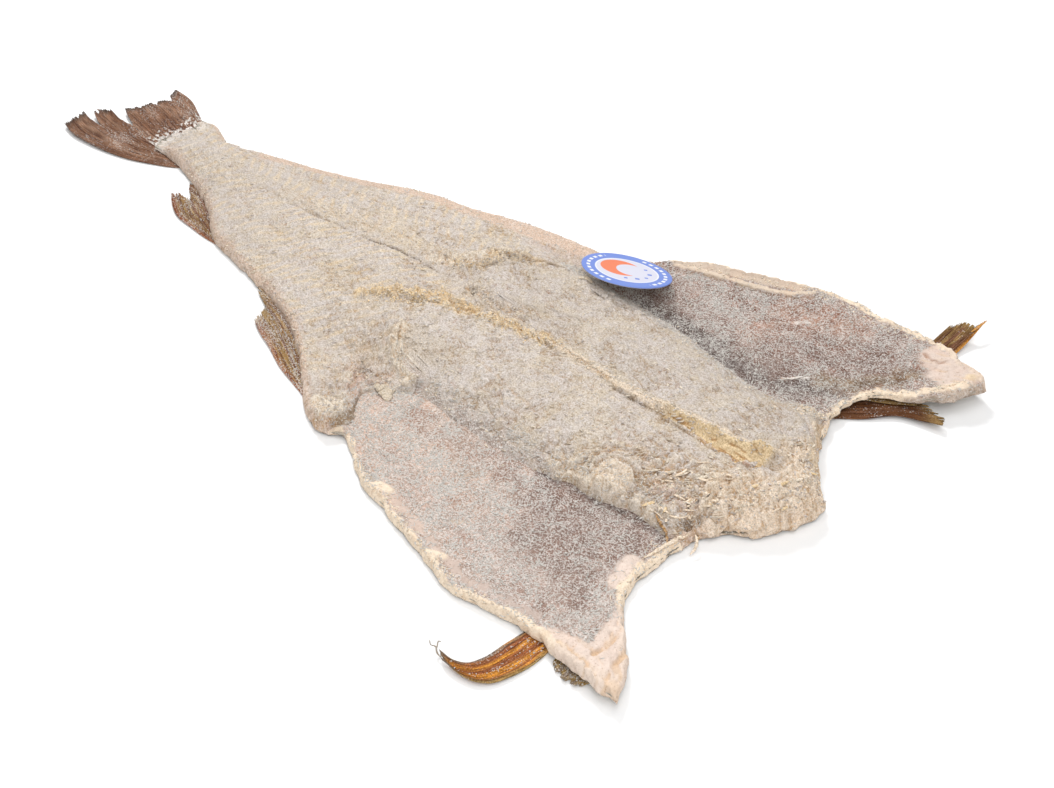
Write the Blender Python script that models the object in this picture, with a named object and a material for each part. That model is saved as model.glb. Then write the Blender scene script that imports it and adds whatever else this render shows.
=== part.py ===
"""Salted dried cod: split, opened flat and dried, lying flesh side up, with its fins and a card tag.

The tail points to -X, the cut neck to +X, and the fish lies on Z = 0. Plan sizes are in
millimetres about the plan's own zero, which lies on the floor near the middle of the backbone line.
Every sheet is worked out as a grid of points: an outline read from smooth curves, a lifted underside
and a thickness that depends on where the point lies on the fish.
"""

import bmesh
import bpy
import numpy as np
from mathutils import Matrix, Vector

MM = 0.001

# Middle of the whole plan, fins included, moved to the origin.
PLAN_CENTRE = np.array([-9.585, -4.75])

# Thicknesses. The thin flaps have a raised rim, and every edge of the body is rounded.
BELLY_THICKNESS = 7.5
FLAP_THICKNESS = 5.5
FLAP_STEP_WIDTH = 5.0
RIM_RIDGE = 1.5
RIM_RIDGE_INSET = 4.0
RIM_RIDGE_WIDTH = 6.0
EDGE_ROUNDING = 5.0
EDGE_SHARE = 0.5
FIN_ROOT_THICKNESS = 2.0
FIN_MARGIN_THICKNESS = 1.0
FIN_RIB_HEIGHT = 0.2

# How fast a fillet rises from its line to the backbone: flatter loins towards the neck.
DOME_POWER_TAIL = 1.7
DOME_POWER_LOIN = 3.6
LOIN_START_X = -50.0
LOIN_FULL_X = 100.0

# The card tag: middle, and the way its face points.
TAG_DIAMETER = 62.0
TAG_THICKNESS = 0.9
TAG_MIDDLE = np.array([116.6, 84.0, 19.2])
TAG_FACES = (-0.04, 0.25, 0.965)
TAG_SIDES = 48

# How the underside stands off the floor.
RIM_LIFT = 3.5
RIM_REACH = 40.0
SPINE_CHANNEL = 1.5
SPINE_CHANNEL_HALF_WIDTH = 14.0
SPINE_CHANNEL_INSET = 12.0
FIN_CLEARANCE = 0.35

# Grid sizes. The underside of the body is coarser than its top.
BODY_ROWS = 72
BODY_COLUMNS = 40
ROW_CROWDING = 0.3
COLUMN_CROWDING = 0.2
UNDERSIDE_STEP = 4
SIDE_CURVE_POINTS = 101

# Outline of the body: y as a function of x along both sides, x as a function of y at both ends.
NEAR_EDGE = [
    (-277, -27), (-256, -27), (-238, -30), (-218, -35), (-196, -42.5), (-171, -52.5), (-151, -64.5),
    (-135, -73), (-110, -78), (-80, -83), (-45, -90), (-14, -100), (17, -117), (42, -134), (55, -144),
    (68, -150), (81, -153), (88, -151), (93, -146), (102, -148), (118, -157), (138, -167), (158, -170),
    (173, -174), (188, -177.5), (199, -179.5), (213, -184), (226, -187), (238, -187), (250, -184),
    (263, -181.5), (284, -179.5), (320, -184), (345, -184),
]
FAR_EDGE = [
    (-286, 25), (-273, 27), (-252, 20.5), (-232, 14.5), (-216, 20), (-181, 30), (-151, 38.5),
    (-116, 52), (-86, 66.5), (-61, 75.5), (-31, 81), (-1, 91), (29, 98), (60, 102), (86, 105), (100, 108),
    (112, 120), (124, 132), (143, 144), (156, 147), (181, 158.5), (211, 171), (236, 176.5), (261, 174),
    (291, 172), (315, 166), (326, 158), (339, 156), (348, 151),
]
NECK_CUT = [
    (-184, 345), (-175, 341), (-163, 332.5), (-150, 321), (-139, 310), (-128, 301), (-115, 298),
    (-98, 298), (-82, 298.5), (-70, 299), (-62, 302), (-54, 309), (-46, 318), (-38, 324.5), (-29, 329.5),
    (-19, 334), (-9, 337), (0, 336), (8, 331), (24, 315), (37, 307), (50, 301), (65, 296),
    (86, 296.5), (97, 302.5), (103, 310), (107, 320), (113, 329), (121, 337), (130, 343.5), (140, 347.5),
    (146, 349), (151, 348),
]
TAIL_END = [(-27, -277), (-19, -282), (-5, -282), (5, -279), (15, -282), (25, -286)]

# Lines on the body: the backbone line, and where each thick fillet ends on its thin flap.
BACKBONE = [(-280, -2), (-240, -8), (-180, -11), (-120, -12), (-80, -10), (-20, -3), (40, -3),
            (110, -10), (180, -12), (250, -13), (290, -6), (340, -6)]
NEAR_FILLET_LINE = [(-277, -27), (-218, -35), (-171, -52), (-135, -73), (-80, -83), (-20, -98),
                    (20, -99), (60, -91), (100, -96), (140, -96), (204, -91), (240, -83), (256, -73),
                    (270, -71), (290, -79), (305, -66), (320, -54), (342, -45)]
FAR_FILLET_LINE = [(-286, 25), (-232, 14), (-181, 29), (-116, 51), (-61, 74), (0, 81), (60, 81),
                   (105, 78), (150, 75), (190, 70), (220, 63), (240, 59), (270, 60), (290, 64),
                   (300, 52), (312, 26), (328, 6), (350, -10)]
FILLET_HEIGHT = [(-286, 8), (-260, 11), (-230, 14), (-180, 16), (-100, 18), (0, 20), (100, 22.5),
                 (200, 24), (270, 24), (300, 22), (320, 18.5), (335, 15), (350, 11)]

# Where the thick belly wall ends and the thin flap begins: x as a function of y on each side.
NEAR_FLAP_START = [(-152, 92), (-141, 89), (-126, 81), (-110, 69), (-88, 56)]
FAR_FLAP_START = [(72, 104), (100, 108), (125, 112)]

# Rounded rises on the top: centre x and y, reach along x and y, height.
TOP_SWELLS = [(78, -145, 15, 13, 5.0), (241, -70, 13, 12, 4.5), (318, -32, 16, 14, 3.5),
              (322, -6, 10, 12, 2.5), (293, -4, 10, 8, 3.0), (36, 40, 14, 16, 2.0), (104, 58, 11, 8, 4.0)]
# Places where the whole sheet curls off the floor, given the same way.
CURLS = [(338, -180, 42, 42, 5.0), (345, 145, 55, 62, 9.0), (-283, 0, 30, 40, 1.0),
         (165, 155, 60, 30, 2.5)]


def smooth(at, knots):
    """Cubic curve through (position, value) knots, read at every value of the array at."""
    t, values = np.array(knots, float).T
    slopes = np.gradient(values, t)
    i = np.clip(np.searchsorted(t, at) - 1, 0, len(t) - 2)
    gap = t[i + 1] - t[i]
    s = np.clip((at - t[i]) / gap, 0.0, 1.0)
    rise = values[i + 1] - values[i]
    curve = (1 - s) * slopes[i] * gap + s * -slopes[i + 1] * gap - (1 - 2 * s) * rise
    return values[i] + s * rise + s * (1 - s) * curve


def along(points, count):
    """Smooth open curve through plan points, as count points spaced by chord length."""
    points = np.array(points, float)
    steps = np.linalg.norm(np.diff(points, axis=0), axis=1)
    t = np.concatenate([[0.0], np.cumsum(steps)]) / steps.sum()
    at = np.linspace(0.0, 1.0, count)
    return np.stack([smooth(at, list(zip(t, points[:, k]))) for k in range(2)], axis=1)


def ease(s):
    """Smooth step from 0 at s = 0 to 1 at s = 1."""
    s = np.clip(s, 0.0, 1.0)
    return s * s * (3.0 - 2.0 * s)


def swells(x, y, centres):
    """Sum of rounded rises, each a bell of its own reach and height."""
    return sum(
        height * np.exp(-(((x - cx) / rx) ** 2) - ((y - cy) / ry) ** 2)
        for cx, cy, rx, ry, height in centres
    )


def width_fractions(edge):
    """Turns (y, x) knots of an end of the body into (share of the width, x) knots."""
    knots = []
    for y, x in edge:
        near, far = (float(smooth(np.array([x]), side)[0]) for side in (NEAR_EDGE, FAR_EDGE))
        knots.append(((y - near) / (far - near), x))
    return knots


def crowded(count, pull):
    """count values from 0 to 1, closer together near both ends."""
    t = np.linspace(0.0, 1.0, count)
    return t - pull * np.sin(2 * np.pi * t) / (2 * np.pi)


def body_plan():
    """Plan points of the body's grid and each point's distance from the outline."""
    rows, columns = crowded(BODY_ROWS + 1, ROW_CROWDING), crowded(BODY_COLUMNS + 1, COLUMN_CROWDING)
    u, v = np.meshgrid(rows, columns, indexing="ij")
    tail = smooth(v, width_fractions(TAIL_END))
    neck = smooth(v, width_fractions(NECK_CUT))
    x = tail * (1 - u) + neck * u
    near, far = smooth(x, NEAR_EDGE), smooth(x, FAR_EDGE)
    y = near + v * (far - near)
    across = np.minimum(v, 1 - v) * (far - near)
    lengthwise = np.minimum(u, 1 - u) * (neck - tail)
    return x, y, np.minimum(across, lengthwise)


def body_heights(x, y, edge):
    """Underside and top of the body over plan points that lie edge from the outline."""
    middle = smooth(x, BACKBONE)
    lift = RIM_LIFT * (1 - ease(edge / RIM_REACH)) + swells(x, y, CURLS)
    channel = SPINE_CHANNEL * (1 - ease((np.abs(y - middle) / SPINE_CHANNEL_HALF_WIDTH) ** 2))
    flap_start = np.where(y < middle, smooth(y, NEAR_FLAP_START), smooth(y, FAR_FLAP_START))
    on_flap = ease((x - flap_start) / FLAP_STEP_WIDTH)
    ridge = RIM_RIDGE * on_flap * (1 - ease((edge - RIM_RIDGE_INSET) / RIM_RIDGE_WIDTH))
    sheet = BELLY_THICKNESS + (FLAP_THICKNESS - BELLY_THICKNESS) * on_flap + ridge
    line = np.where(y < middle, smooth(x, NEAR_FILLET_LINE), smooth(x, FAR_FILLET_LINE))
    share = np.clip((y - line) / (middle - line), 0.0, 1.0)
    towards_loin = ease((x - LOIN_START_X) / (LOIN_FULL_X - LOIN_START_X))
    dome = 1 - (1 - share) ** (DOME_POWER_TAIL + (DOME_POWER_LOIN - DOME_POWER_TAIL) * towards_loin)
    rounding = EDGE_SHARE + (1 - EDGE_SHARE) * ease(edge / EDGE_ROUNDING)
    thickness = sheet + (smooth(x, FILLET_HEIGHT) - sheet) * dome + swells(x, y, TOP_SWELLS)
    return lift + channel * ease(edge / SPINE_CHANNEL_INSET), lift + thickness * rounding


def slab(name, top, underside, colour, roughness):
    """Closed sheet from two grids of points; the underside may be a coarser grid of the same outline."""
    rows, columns = top.shape[:2]
    step = (rows - 1) // (underside.shape[0] - 1)
    vertices = np.concatenate([top.reshape(-1, 3), underside.reshape(-1, 3)])
    upper = np.arange(rows * columns).reshape(rows, columns)
    lower = rows * columns + np.arange(underside[..., 0].size).reshape(underside.shape[:2])
    faces = []
    for i in range(rows - 1):
        for j in range(columns - 1):
            faces.append((upper[i, j], upper[i, j + 1], upper[i + 1, j + 1], upper[i + 1, j]))
    for i in range(lower.shape[0] - 1):
        for j in range(lower.shape[1] - 1):
            faces.append((lower[i, j], lower[i + 1, j], lower[i + 1, j + 1], lower[i, j + 1]))
    for high, low in (
        (upper[0], lower[0]), (upper[:, -1], lower[:, -1]),
        (upper[-1][::-1], lower[-1][::-1]), (upper[::-1, 0], lower[::-1, 0]),
    ):
        for k in range(len(low) - 1):
            faces.append([*high[k * step:(k + 1) * step + 1][::-1], low[k], low[k + 1]])
    mesh = bpy.data.meshes.new(name)
    centred = vertices - [*PLAN_CENTRE, 0.0]
    mesh.from_pydata((centred * MM).tolist(), [], [[int(k) for k in face] for face in faces])
    tidy = bmesh.new()
    tidy.from_mesh(mesh)
    bmesh.ops.triangulate(tidy, faces=[face for face in tidy.faces if len(face.verts) > 4])
    bmesh.ops.recalc_face_normals(tidy, faces=tidy.faces)
    tidy.to_mesh(mesh)
    tidy.free()
    return dress(name, mesh, colour, roughness)


def dress(name, mesh, colour, roughness):
    """Object of this mesh, smooth shaded, with its own plain material."""
    material = bpy.data.materials.new(name)
    material.use_nodes = True
    shader = material.node_tree.nodes["Principled BSDF"]
    shader.inputs["Base Color"].default_value = (*colour, 1.0)
    shader.inputs["Roughness"].default_value = roughness
    shader.inputs["Metallic"].default_value = 0.0
    mesh.materials.append(material)
    mesh.shade_smooth()
    part = bpy.data.objects.new(name, mesh)
    bpy.context.scene.collection.objects.link(part)
    return part


def make_body():
    """The split fish without its fins."""
    x, y, edge = body_plan()
    low, high = body_heights(x, y, edge)
    coarse = np.stack([x, y, low], axis=2)[::UNDERSIDE_STEP, ::UNDERSIDE_STEP]
    slab("body", np.stack([x, y, high], axis=2), coarse, (0.68, 0.60, 0.51), 0.85)


def make_fin(name, root, margin, lower_side, upper_side, tears, grid, height, colour):
    """Ribbed blade between four curves.

    Rays run from the root curve to the margin curve and spread evenly between the two side curves,
    each a list of points between them. A tear is (place across, depth, half width): the rays there
    stop short. height is the clearance off the floor at the root and at the margin.
    """
    rays, steps = grid
    u, v = np.meshgrid(np.linspace(0, 1, steps + 1), np.linspace(0, 1, rays + 1), indexing="ij")
    for place, depth, half_width in tears:
        u = u * (1 - depth * np.clip(1 - np.abs(v - place) / half_width, 0, 1))
    start, end = along(root, rays + 1), along(margin, rays + 1)
    sides = [along([a, *side, b], SIDE_CURVE_POINTS) for a, side, b in
             ((root[0], lower_side, margin[0]), (root[-1], upper_side, margin[-1]))]
    share = np.linspace(0, 1, SIDE_CURVE_POINTS)
    plan = []
    for k in range(2):
        low_side, high_side = (np.interp(u, share, side[:, k]) for side in sides)
        ends = (1 - u) * start[None, :, k] + u * end[None, :, k]
        corners = (1 - v) * ((1 - u) * start[0, k] + u * end[0, k])
        corners = corners + v * ((1 - u) * start[-1, k] + u * end[-1, k])
        plan.append((1 - v) * low_side + v * high_side + ends - corners)
    lift = height[0] + (height[1] - height[0]) * u**2
    ribs = FIN_RIB_HEIGHT * np.where(np.arange(rays + 1) % 2, 1.0, -1.0)[None, :]
    thickness = FIN_ROOT_THICKNESS + (FIN_MARGIN_THICKNESS - FIN_ROOT_THICKNESS) * u
    top = np.stack([*plan, lift + thickness + ribs * ease(u * 4)], axis=2)
    under = np.stack([*plan, lift + 0.0 * u], axis=2)
    slab(name, top, under, colour, 0.6)


def make_tag():
    """Round card tag, lying on the slope from the far fillet down to the far flap."""
    mesh = bpy.data.meshes.new("tag")
    disc = bmesh.new()
    bmesh.ops.create_cone(
        disc, cap_ends=True, cap_tris=False, segments=TAG_SIDES,
        radius1=TAG_DIAMETER / 2 * MM, radius2=TAG_DIAMETER / 2 * MM, depth=TAG_THICKNESS * MM,
    )
    disc.to_mesh(mesh)
    disc.free()
    place = Vector((TAG_MIDDLE - [*PLAN_CENTRE, 0.0]) * MM)
    turn = Vector((0.0, 0.0, 1.0)).rotation_difference(Vector(TAG_FACES)).to_matrix().to_4x4()
    mesh.transform(Matrix.Translation(place) @ turn)
    dress("tag", mesh, (0.45, 0.50, 0.78), 0.5)


def make_fins():
    """All fins that show round the fish, each from its own outline."""
    brown, rust, olive = (0.22, 0.14, 0.10), (0.30, 0.14, 0.06), (0.20, 0.14, 0.05)
    make_fin(
        "tail_fin",
        root=[(-238, -26), (-262, -22), (-273, -12), (-274, 0), (-272, 10), (-276, 19)],
        margin=[(-364, -56), (-368, -38), (-363, -23), (-351, -9), (-346, 8), (-345, 25), (-347, 41)],
        lower_side=[(-244, -31), (-260, -40), (-280, -49), (-300, -54.5), (-320, -57.5), (-346, -58.5)],
        upper_side=[(-290, 27), (-305, 33.5), (-322, 40)],
        tears=[(0.24, 0.20, 0.05), (0.44, 0.32, 0.07), (0.68, 0.07, 0.04), (0.84, 0.10, 0.05)],
        grid=(26, 8), height=(FIN_CLEARANCE, 3.0), colour=brown,
    )
    make_fin(
        "anal_fin_rear",
        root=[(-116, -72.5), (-118, -66)],
        margin=[(-211, -57), (-205, -47), (-213, -39)],
        lower_side=[(-148, -74), (-164, -73), (-184, -71), (-200, -64)],
        upper_side=[(-148, -58), (-175, -44), (-198, -36)],
        tears=[(0.42, 0.12, 0.2)], grid=(8, 12), height=(FIN_CLEARANCE, 1.5), colour=rust,
    )
    make_fin(
        "anal_fin_front",
        root=[(60, -141), (56, -132)],
        margin=[(-36, -113), (-42, -101), (-57, -93), (-72, -82)],
        lower_side=[(34, -135), (13, -130), (-7, -122.5), (-26, -116.5)],
        upper_side=[(34, -118), (5, -102), (-25, -89), (-55, -81)],
        tears=[(0.5, 0.06, 0.2)], grid=(8, 12), height=(FIN_CLEARANCE, 1.2), colour=rust,
    )
    make_fin(
        "pectoral_fin_near",
        root=[(279, -172), (296, -172)],
        margin=[(257, -219.5), (262, -222), (269, -223)],
        lower_side=[(277, -192), (276, -207), (273, -214.5), (267, -218.5)],
        upper_side=[(296, -197), (294, -206), (290, -215.5), (284, -220.5), (276, -222.7)],
        tears=[], grid=(8, 12), height=(FIN_CLEARANCE, 2.5), colour=(0.42, 0.20, 0.06),
    )
    make_fin(
        "pelvic_fin_near",
        root=[(302, -178), (325, -177)],
        margin=[(303, -184), (312, -188), (321, -187)],
        lower_side=[(302.5, -181)], upper_side=[(324, -182)],
        tears=[(0.6, 0.2, 0.2)], grid=(8, 3), height=(FIN_CLEARANCE, 1.0), colour=olive,
    )
    make_fin(
        "pectoral_fin_far",
        root=[(296, 158), (313, 158)],
        margin=[(299, 192), (302, 198), (305.5, 203), (309, 203), (313, 213.5)],
        lower_side=[(296, 175)], upper_side=[(313, 175), (313, 195)],
        tears=[], grid=(8, 9), height=(FIN_CLEARANCE, 9.0), colour=olive,
    )
    make_fin(
        "pelvic_fin_far",
        root=[(284, 63), (286, 96)],
        margin=[(346.5, 107), (344, 113), (338, 114), (330, 117)],
        lower_side=[(292, 71), (307, 84), (322, 100), (334, 104)],
        upper_side=[(300, 108), (316, 114)],
        tears=[(0.5, 0.10, 0.2)], grid=(10, 9), height=(FIN_CLEARANCE, 4.5), colour=(0.09, 0.04, 0.03),
    )


def main():
    """Builds the whole fish."""
    for old in list(bpy.data.objects):
        bpy.data.objects.remove(old)
    make_body()
    make_fins()
    make_tag()


main()
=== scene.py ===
"""Salted dried cod, split along the belly, opened flat and dried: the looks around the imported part.

The tail points to -X, the cut neck to +X, and the fish lies flesh side up on Z = 0. Shapes are worked
out in millimetres over a plan whose zero lies near the middle of the backbone line, then moved to the
row frame. Each layer of the fish is one function of two parameters on a grid: a fine side that shows
and a coarse side that is hidden in its neighbours.
"""

import logging
import math
from dataclasses import dataclass, field
from enum import Enum
from typing import Sequence

import bpy
import numpy as np
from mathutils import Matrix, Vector

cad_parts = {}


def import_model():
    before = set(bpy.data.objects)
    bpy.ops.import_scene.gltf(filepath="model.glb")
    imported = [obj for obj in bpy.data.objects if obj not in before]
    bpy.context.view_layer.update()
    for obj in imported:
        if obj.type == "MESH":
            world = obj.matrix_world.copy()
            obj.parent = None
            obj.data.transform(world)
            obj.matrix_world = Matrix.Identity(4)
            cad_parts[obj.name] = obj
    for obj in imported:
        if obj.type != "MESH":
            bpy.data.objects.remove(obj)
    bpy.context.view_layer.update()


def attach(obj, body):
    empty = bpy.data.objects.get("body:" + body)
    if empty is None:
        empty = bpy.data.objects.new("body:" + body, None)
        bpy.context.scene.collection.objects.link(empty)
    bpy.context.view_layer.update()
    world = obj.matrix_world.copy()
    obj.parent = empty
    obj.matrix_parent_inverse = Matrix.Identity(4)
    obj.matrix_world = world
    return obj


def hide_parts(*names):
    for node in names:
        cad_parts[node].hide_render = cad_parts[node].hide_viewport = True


Grid = np.ndarray
Knots = Sequence[tuple[float, float]]
log = logging.getLogger("salted_dried_cod")

MM = 0.001
PLAN_CENTRE = np.array([-9.585, -4.75])

# Outline of the body: y as a function of x along both sides, x as a function of y at both ends.
NEAR_EDGE = [
    (-277, -27), (-256, -27), (-238, -30), (-218, -35), (-196, -42.5), (-171, -52.5), (-151, -64.5),
    (-135, -73), (-110, -78), (-80, -83), (-45, -90), (-14, -100), (17, -117), (42, -134), (55, -144),
    (68, -150), (81, -153), (88, -151), (93, -146), (102, -148), (118, -157), (138, -167), (158, -170),
    (173, -174), (188, -177.5), (199, -179.5), (213, -184), (226, -187), (238, -187), (250, -184),
    (263, -181.5), (284, -179.5), (320, -184), (345, -184),
]
FAR_EDGE = [
    (-286, 25), (-273, 27), (-252, 20.5), (-232, 14.5), (-216, 20), (-181, 30), (-151, 38.5),
    (-116, 52), (-86, 66.5), (-61, 75.5), (-31, 81), (-1, 91), (29, 98), (60, 102), (86, 105), (100, 108),
    (112, 120), (124, 132), (143, 144), (156, 147), (181, 158.5), (211, 171), (236, 176.5), (261, 174),
    (291, 172), (315, 166), (326, 158), (339, 156), (348, 151),
]
NECK_CUT = [
    (-184, 345), (-175, 341), (-163, 332.5), (-150, 321), (-139, 310), (-128, 301), (-115, 298),
    (-98, 298), (-82, 298.5), (-70, 299), (-62, 302), (-54, 309), (-46, 318), (-38, 324.5), (-29, 329.5),
    (-19, 334), (-9, 337), (0, 336), (8, 331), (24, 315), (37, 307), (50, 301), (65, 296),
    (86, 296.5), (97, 302.5), (103, 310), (107, 320), (113, 329), (121, 337), (130, 343.5), (140, 347.5),
    (146, 349), (151, 348),
]
TAIL_END = [(-27, -277), (-19, -282), (-5, -282), (5, -279), (15, -282), (25, -286)]

# Lines on the body, y as a function of x.
BACKBONE = [(-280, -2), (-240, -8), (-180, -11), (-120, -12), (-80, -10), (-20, -3), (40, -3),
            (110, -10), (180, -12), (250, -13), (290, -6), (340, -6)]
NEAR_FILLET_LINE = [(-277, -27), (-218, -35), (-171, -52), (-135, -73), (-80, -83), (-20, -98),
                    (20, -99), (60, -91), (100, -91), (140, -94), (204, -90), (225, -85), (240, -83.5),
                    (252, -80), (262, -77), (280, -79), (290, -79), (305, -66), (320, -54), (342, -45)]
FAR_FILLET_LINE = [(-286, 25), (-232, 14), (-181, 29), (-116, 51), (-61, 74), (0, 81), (60, 81),
                   (105, 78), (150, 75), (190, 70), (220, 63), (240, 59), (270, 60), (290, 64),
                   (300, 52), (312, 26), (328, 6), (350, -10)]
NEAR_LOIN_SIDE = [*NEAR_FILLET_LINE[:-3], (300, -77), (350, -77)]
FAR_LOIN_SIDE = [*FAR_FILLET_LINE[:-4], (300, 63), (355, 63)]
RIDGE_CREST = [(20, -4), (60, -10), (100, -14), (117, -15), (139, -12.5), (159, -11.5), (183, -12),
               (202, -15), (218, -15), (238, -13.5), (255, -12.5), (271, -10.5), (286, -8.5), (298, -2),
               (310, 0), (345, 0)]
RIDGE_FOOT = [(20, -6), (60, -12.5), (100, -17), (139, -16), (177, -17), (197, -20), (220, -19.7),
              (233, -19.6), (254, -20), (271, -19.5), (284, -19.5), (296, -18), (306, -9), (320, -3),
              (345, -2.5)]

# Where the tail half's flesh ends over the loins and the flaps, and the fold line that parts the tail
# stock from it: x as a function of y.
BACKBONE_CUT = [
    (-157, 84), (-150, 91), (-144, 93.5), (-138, 93), (-131, 88), (-124, 80), (-116, 76), (-109, 77),
    (-104, 82), (-92, 98), (-88, 96), (-84, 84), (-80, 74), (-74, 64), (-69, 59), (-62, 54),
    (-52, 50), (-42, 48), (-34, 50), (-28, 58), (-22, 70), (-16, 74), (-11, 66), (-6, 62), (0, 56),
    (7, 43), (13, 40), (19, 46), (27, 49), (31, 47), (34.5, 41), (37, 44), (40, 51), (48, 59), (55, 66),
    (62, 76), (72, 86), (84, 94), (98, 102),
]
STOCK_FOLD = [(-82, -82), (-60, -90), (-16, -108), (20, -98), (64, -84)]

# Heights, as functions of x or y.
FILLET_HEIGHT = [(-286, 8), (-260, 11), (-230, 14), (-180, 16), (-100, 18), (0, 20), (100, 22.5),
                 (200, 24), (270, 24), (300, 22), (320, 18.5), (335, 15), (350, 11)]
CUT_STEP = [(-157, 2.6), (-140, 3.0), (-130, 2.8), (-120, 1.6), (-108, 0.5), (-100, 0), (-92, 0.2),
            (-84, 1.2), (-74, 1.6), (-66, 1.2), (-56, 0.6), (-44, 0.6), (-34, 1.0), (-26, 1.2), (-16, 0.9),
            (-6, 1.4), (2, 1.2), (10, 2.2), (20, 3.0), (28, 3.0), (34, 1.8), (38, 2.1), (48, 2.4),
            (58, 1.2), (66, 0.4), (75, 0), (98, 0)]
NEAR_LOIN_STEP = [(60, 0), (190, 0.1), (208, 0.6), (222, 1.6), (232, 3.0), (246, 3.2), (256, 2.6),
                  (266, 2.0), (280, 2.2), (290, 2.6), (345, 2.6)]
RIDGE_HEIGHT = [(20, 0.1), (60, 0.6), (117, 1.0), (160, 1.2), (200, 2.0), (230, 3.0), (260, 4.0),
                (285, 5.2), (296, 6.0), (301, 3.6), (306, 1.0), (320, 0.4), (345, 0.3)]
RIDGE_TRENCH = [(60, 0.0), (100, 0.3), (160, 0.6), (200, 1.2), (250, 2.0), (290, 2.2), (303, 1.2),
                (320, 0.2)]
RIM_WIDTH_NEAR = [(90, 0.5), (110, 1.5), (150, 3), (165, 1.5), (200, 1.5), (214, 3), (240, 1.5),
                  (270, 3), (300, 5), (345, 8)]
FLAP_THICKNESS = 4.5
EMBEDDED = 1.6
BELLY_THICKNESS = 6.0
RIM_RIDGE = 1.0

# How the layers stand off the floor.
RIM_LIFT_NEAR = 1.6
RIM_LIFT_FAR = 3.0
RIM_REACH = 40.0
UNDER_RIM_LIFT = 1.3
UNDER_RIM_REACH = 22.0
SPINE_CHANNEL = 1.6
SPINE_CHANNEL_HALF_WIDTH = 14.0

# Rounded rises on the top and curls of the whole sheet: centre x and y, reach along x and y, height.
TOP_SWELLS = [(77, -144, 14, 12, 6.0), (241, -70, 13, 12, 4.0), (318, -32, 16, 14, 3.5),
              (322, -6, 10, 12, 2.5), (36, 40, 14, 16, 1.2), (104, 58, 11, 8, 4.0)]
CURLS = [(338, -180, 42, 42, 5.0), (345, 145, 55, 62, 9.0), (-283, 0, 30, 40, 1.0),
         (165, 155, 60, 30, 2.5)]
LIFTED_FRONT = [(304, 84, 14, 36, 4.0), (324, 116, 22, 14, 2.5)]


class Tone(Enum):
    """Colours of the dried fish, as linear red, green and blue."""

    FLESH = (0.568, 0.510, 0.466)
    LILAC = (0.595, 0.535, 0.500)
    CREAM = (0.615, 0.525, 0.410)
    PALE = (0.740, 0.655, 0.540)
    GREY = (0.540, 0.462, 0.375)
    YELLOW = (0.810, 0.630, 0.385)
    OCHRE = (0.470, 0.275, 0.115)
    PINK = (0.650, 0.490, 0.385)
    BLUSH = (0.520, 0.370, 0.300)
    RIM = (0.850, 0.710, 0.555)
    RIM_SHADE = (0.660, 0.470, 0.310)
    TIP = (0.750, 0.620, 0.540)
    RUST = (0.304, 0.136, 0.064)
    BROWN = (0.240, 0.160, 0.088)
    SHADOW = (0.096, 0.064, 0.040)
    MAUVE = (0.480, 0.375, 0.330)
    ROSE = (0.400, 0.240, 0.175)
    SLATE = (0.235, 0.165, 0.140)
    CHARCOAL = (0.060, 0.047, 0.045)
    SALT = (0.830, 0.780, 0.735)
    SKIN_BACK = (0.080, 0.064, 0.036)
    SKIN_FLANK = (0.200, 0.164, 0.104)
    SKIN_BELLY = (0.448, 0.400, 0.328)
    FIN_BROWN = (0.195, 0.095, 0.052)
    FIN_UMBER = (0.290, 0.172, 0.112)
    FIN_RUST = (0.330, 0.120, 0.045)
    FIN_OLIVE = (0.330, 0.215, 0.085)
    FIN_AMBER = (0.660, 0.300, 0.050)
    FIN_GREY = (0.330, 0.270, 0.210)
    FIN_MAROON = (0.140, 0.055, 0.018)
    FIN_STRAW = (0.420, 0.300, 0.120)
    FIN_BLACK = (0.040, 0.026, 0.020)

    @property
    def rgb(self) -> Grid:
        """The colour as an array of three."""
        return np.array(self.value)


# ---------------------------------------------------------------- curves and patterns


def ease(s: Grid) -> Grid:
    """Smooth step from 0 at s = 0 to 1 at s = 1."""
    s = np.clip(s, 0.0, 1.0)
    return s * s * (3.0 - 2.0 * s)


def smooth(at: Grid, knots: Knots) -> Grid:
    """Cubic curve through knots whose slopes are the mean slopes of their neighbours.

    Args:
        at: Places to read the curve at.
        knots: (place, value) pairs in order.

    Returns:
        The curve's value at every place, held level beyond both ends.
    """
    t, values = np.array(knots, float).T
    slopes = np.gradient(values, t)
    i = np.clip(np.searchsorted(t, at) - 1, 0, len(t) - 2)
    gap = t[i + 1] - t[i]
    s = np.clip((at - t[i]) / gap, 0.0, 1.0)
    rise = values[i + 1] - values[i]
    curve = (1 - s) * slopes[i] * gap + s * -slopes[i + 1] * gap - (1 - 2 * s) * rise
    return values[i] + s * rise + s * (1 - s) * curve


def along(points: Sequence[Sequence[float]], count: int) -> Grid:
    """Smooth open curve through points of any dimension, as count points.

    Args:
        points: The points that the curve passes.
        count: How many points to read from it.

    Returns:
        The curve's points, spread by chord length.
    """
    path = np.array(points, float)
    steps = np.linalg.norm(np.diff(path, axis=0), axis=1)
    t = np.concatenate([[0.0], np.cumsum(steps)]) / steps.sum()
    at = np.linspace(0.0, 1.0, count)
    return np.stack([smooth(at, list(zip(t, path[:, k]))) for k in range(path.shape[1])], axis=1)


def swells(x: Grid, y: Grid, centres: Sequence[Sequence[float]]) -> Grid:
    """Sum of rounded rises, each a bell of its own reach and height."""
    return sum(h * np.exp(-(((x - cx) / rx) ** 2) - ((y - cy) / ry) ** 2) for cx, cy, rx, ry, h in centres)


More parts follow.
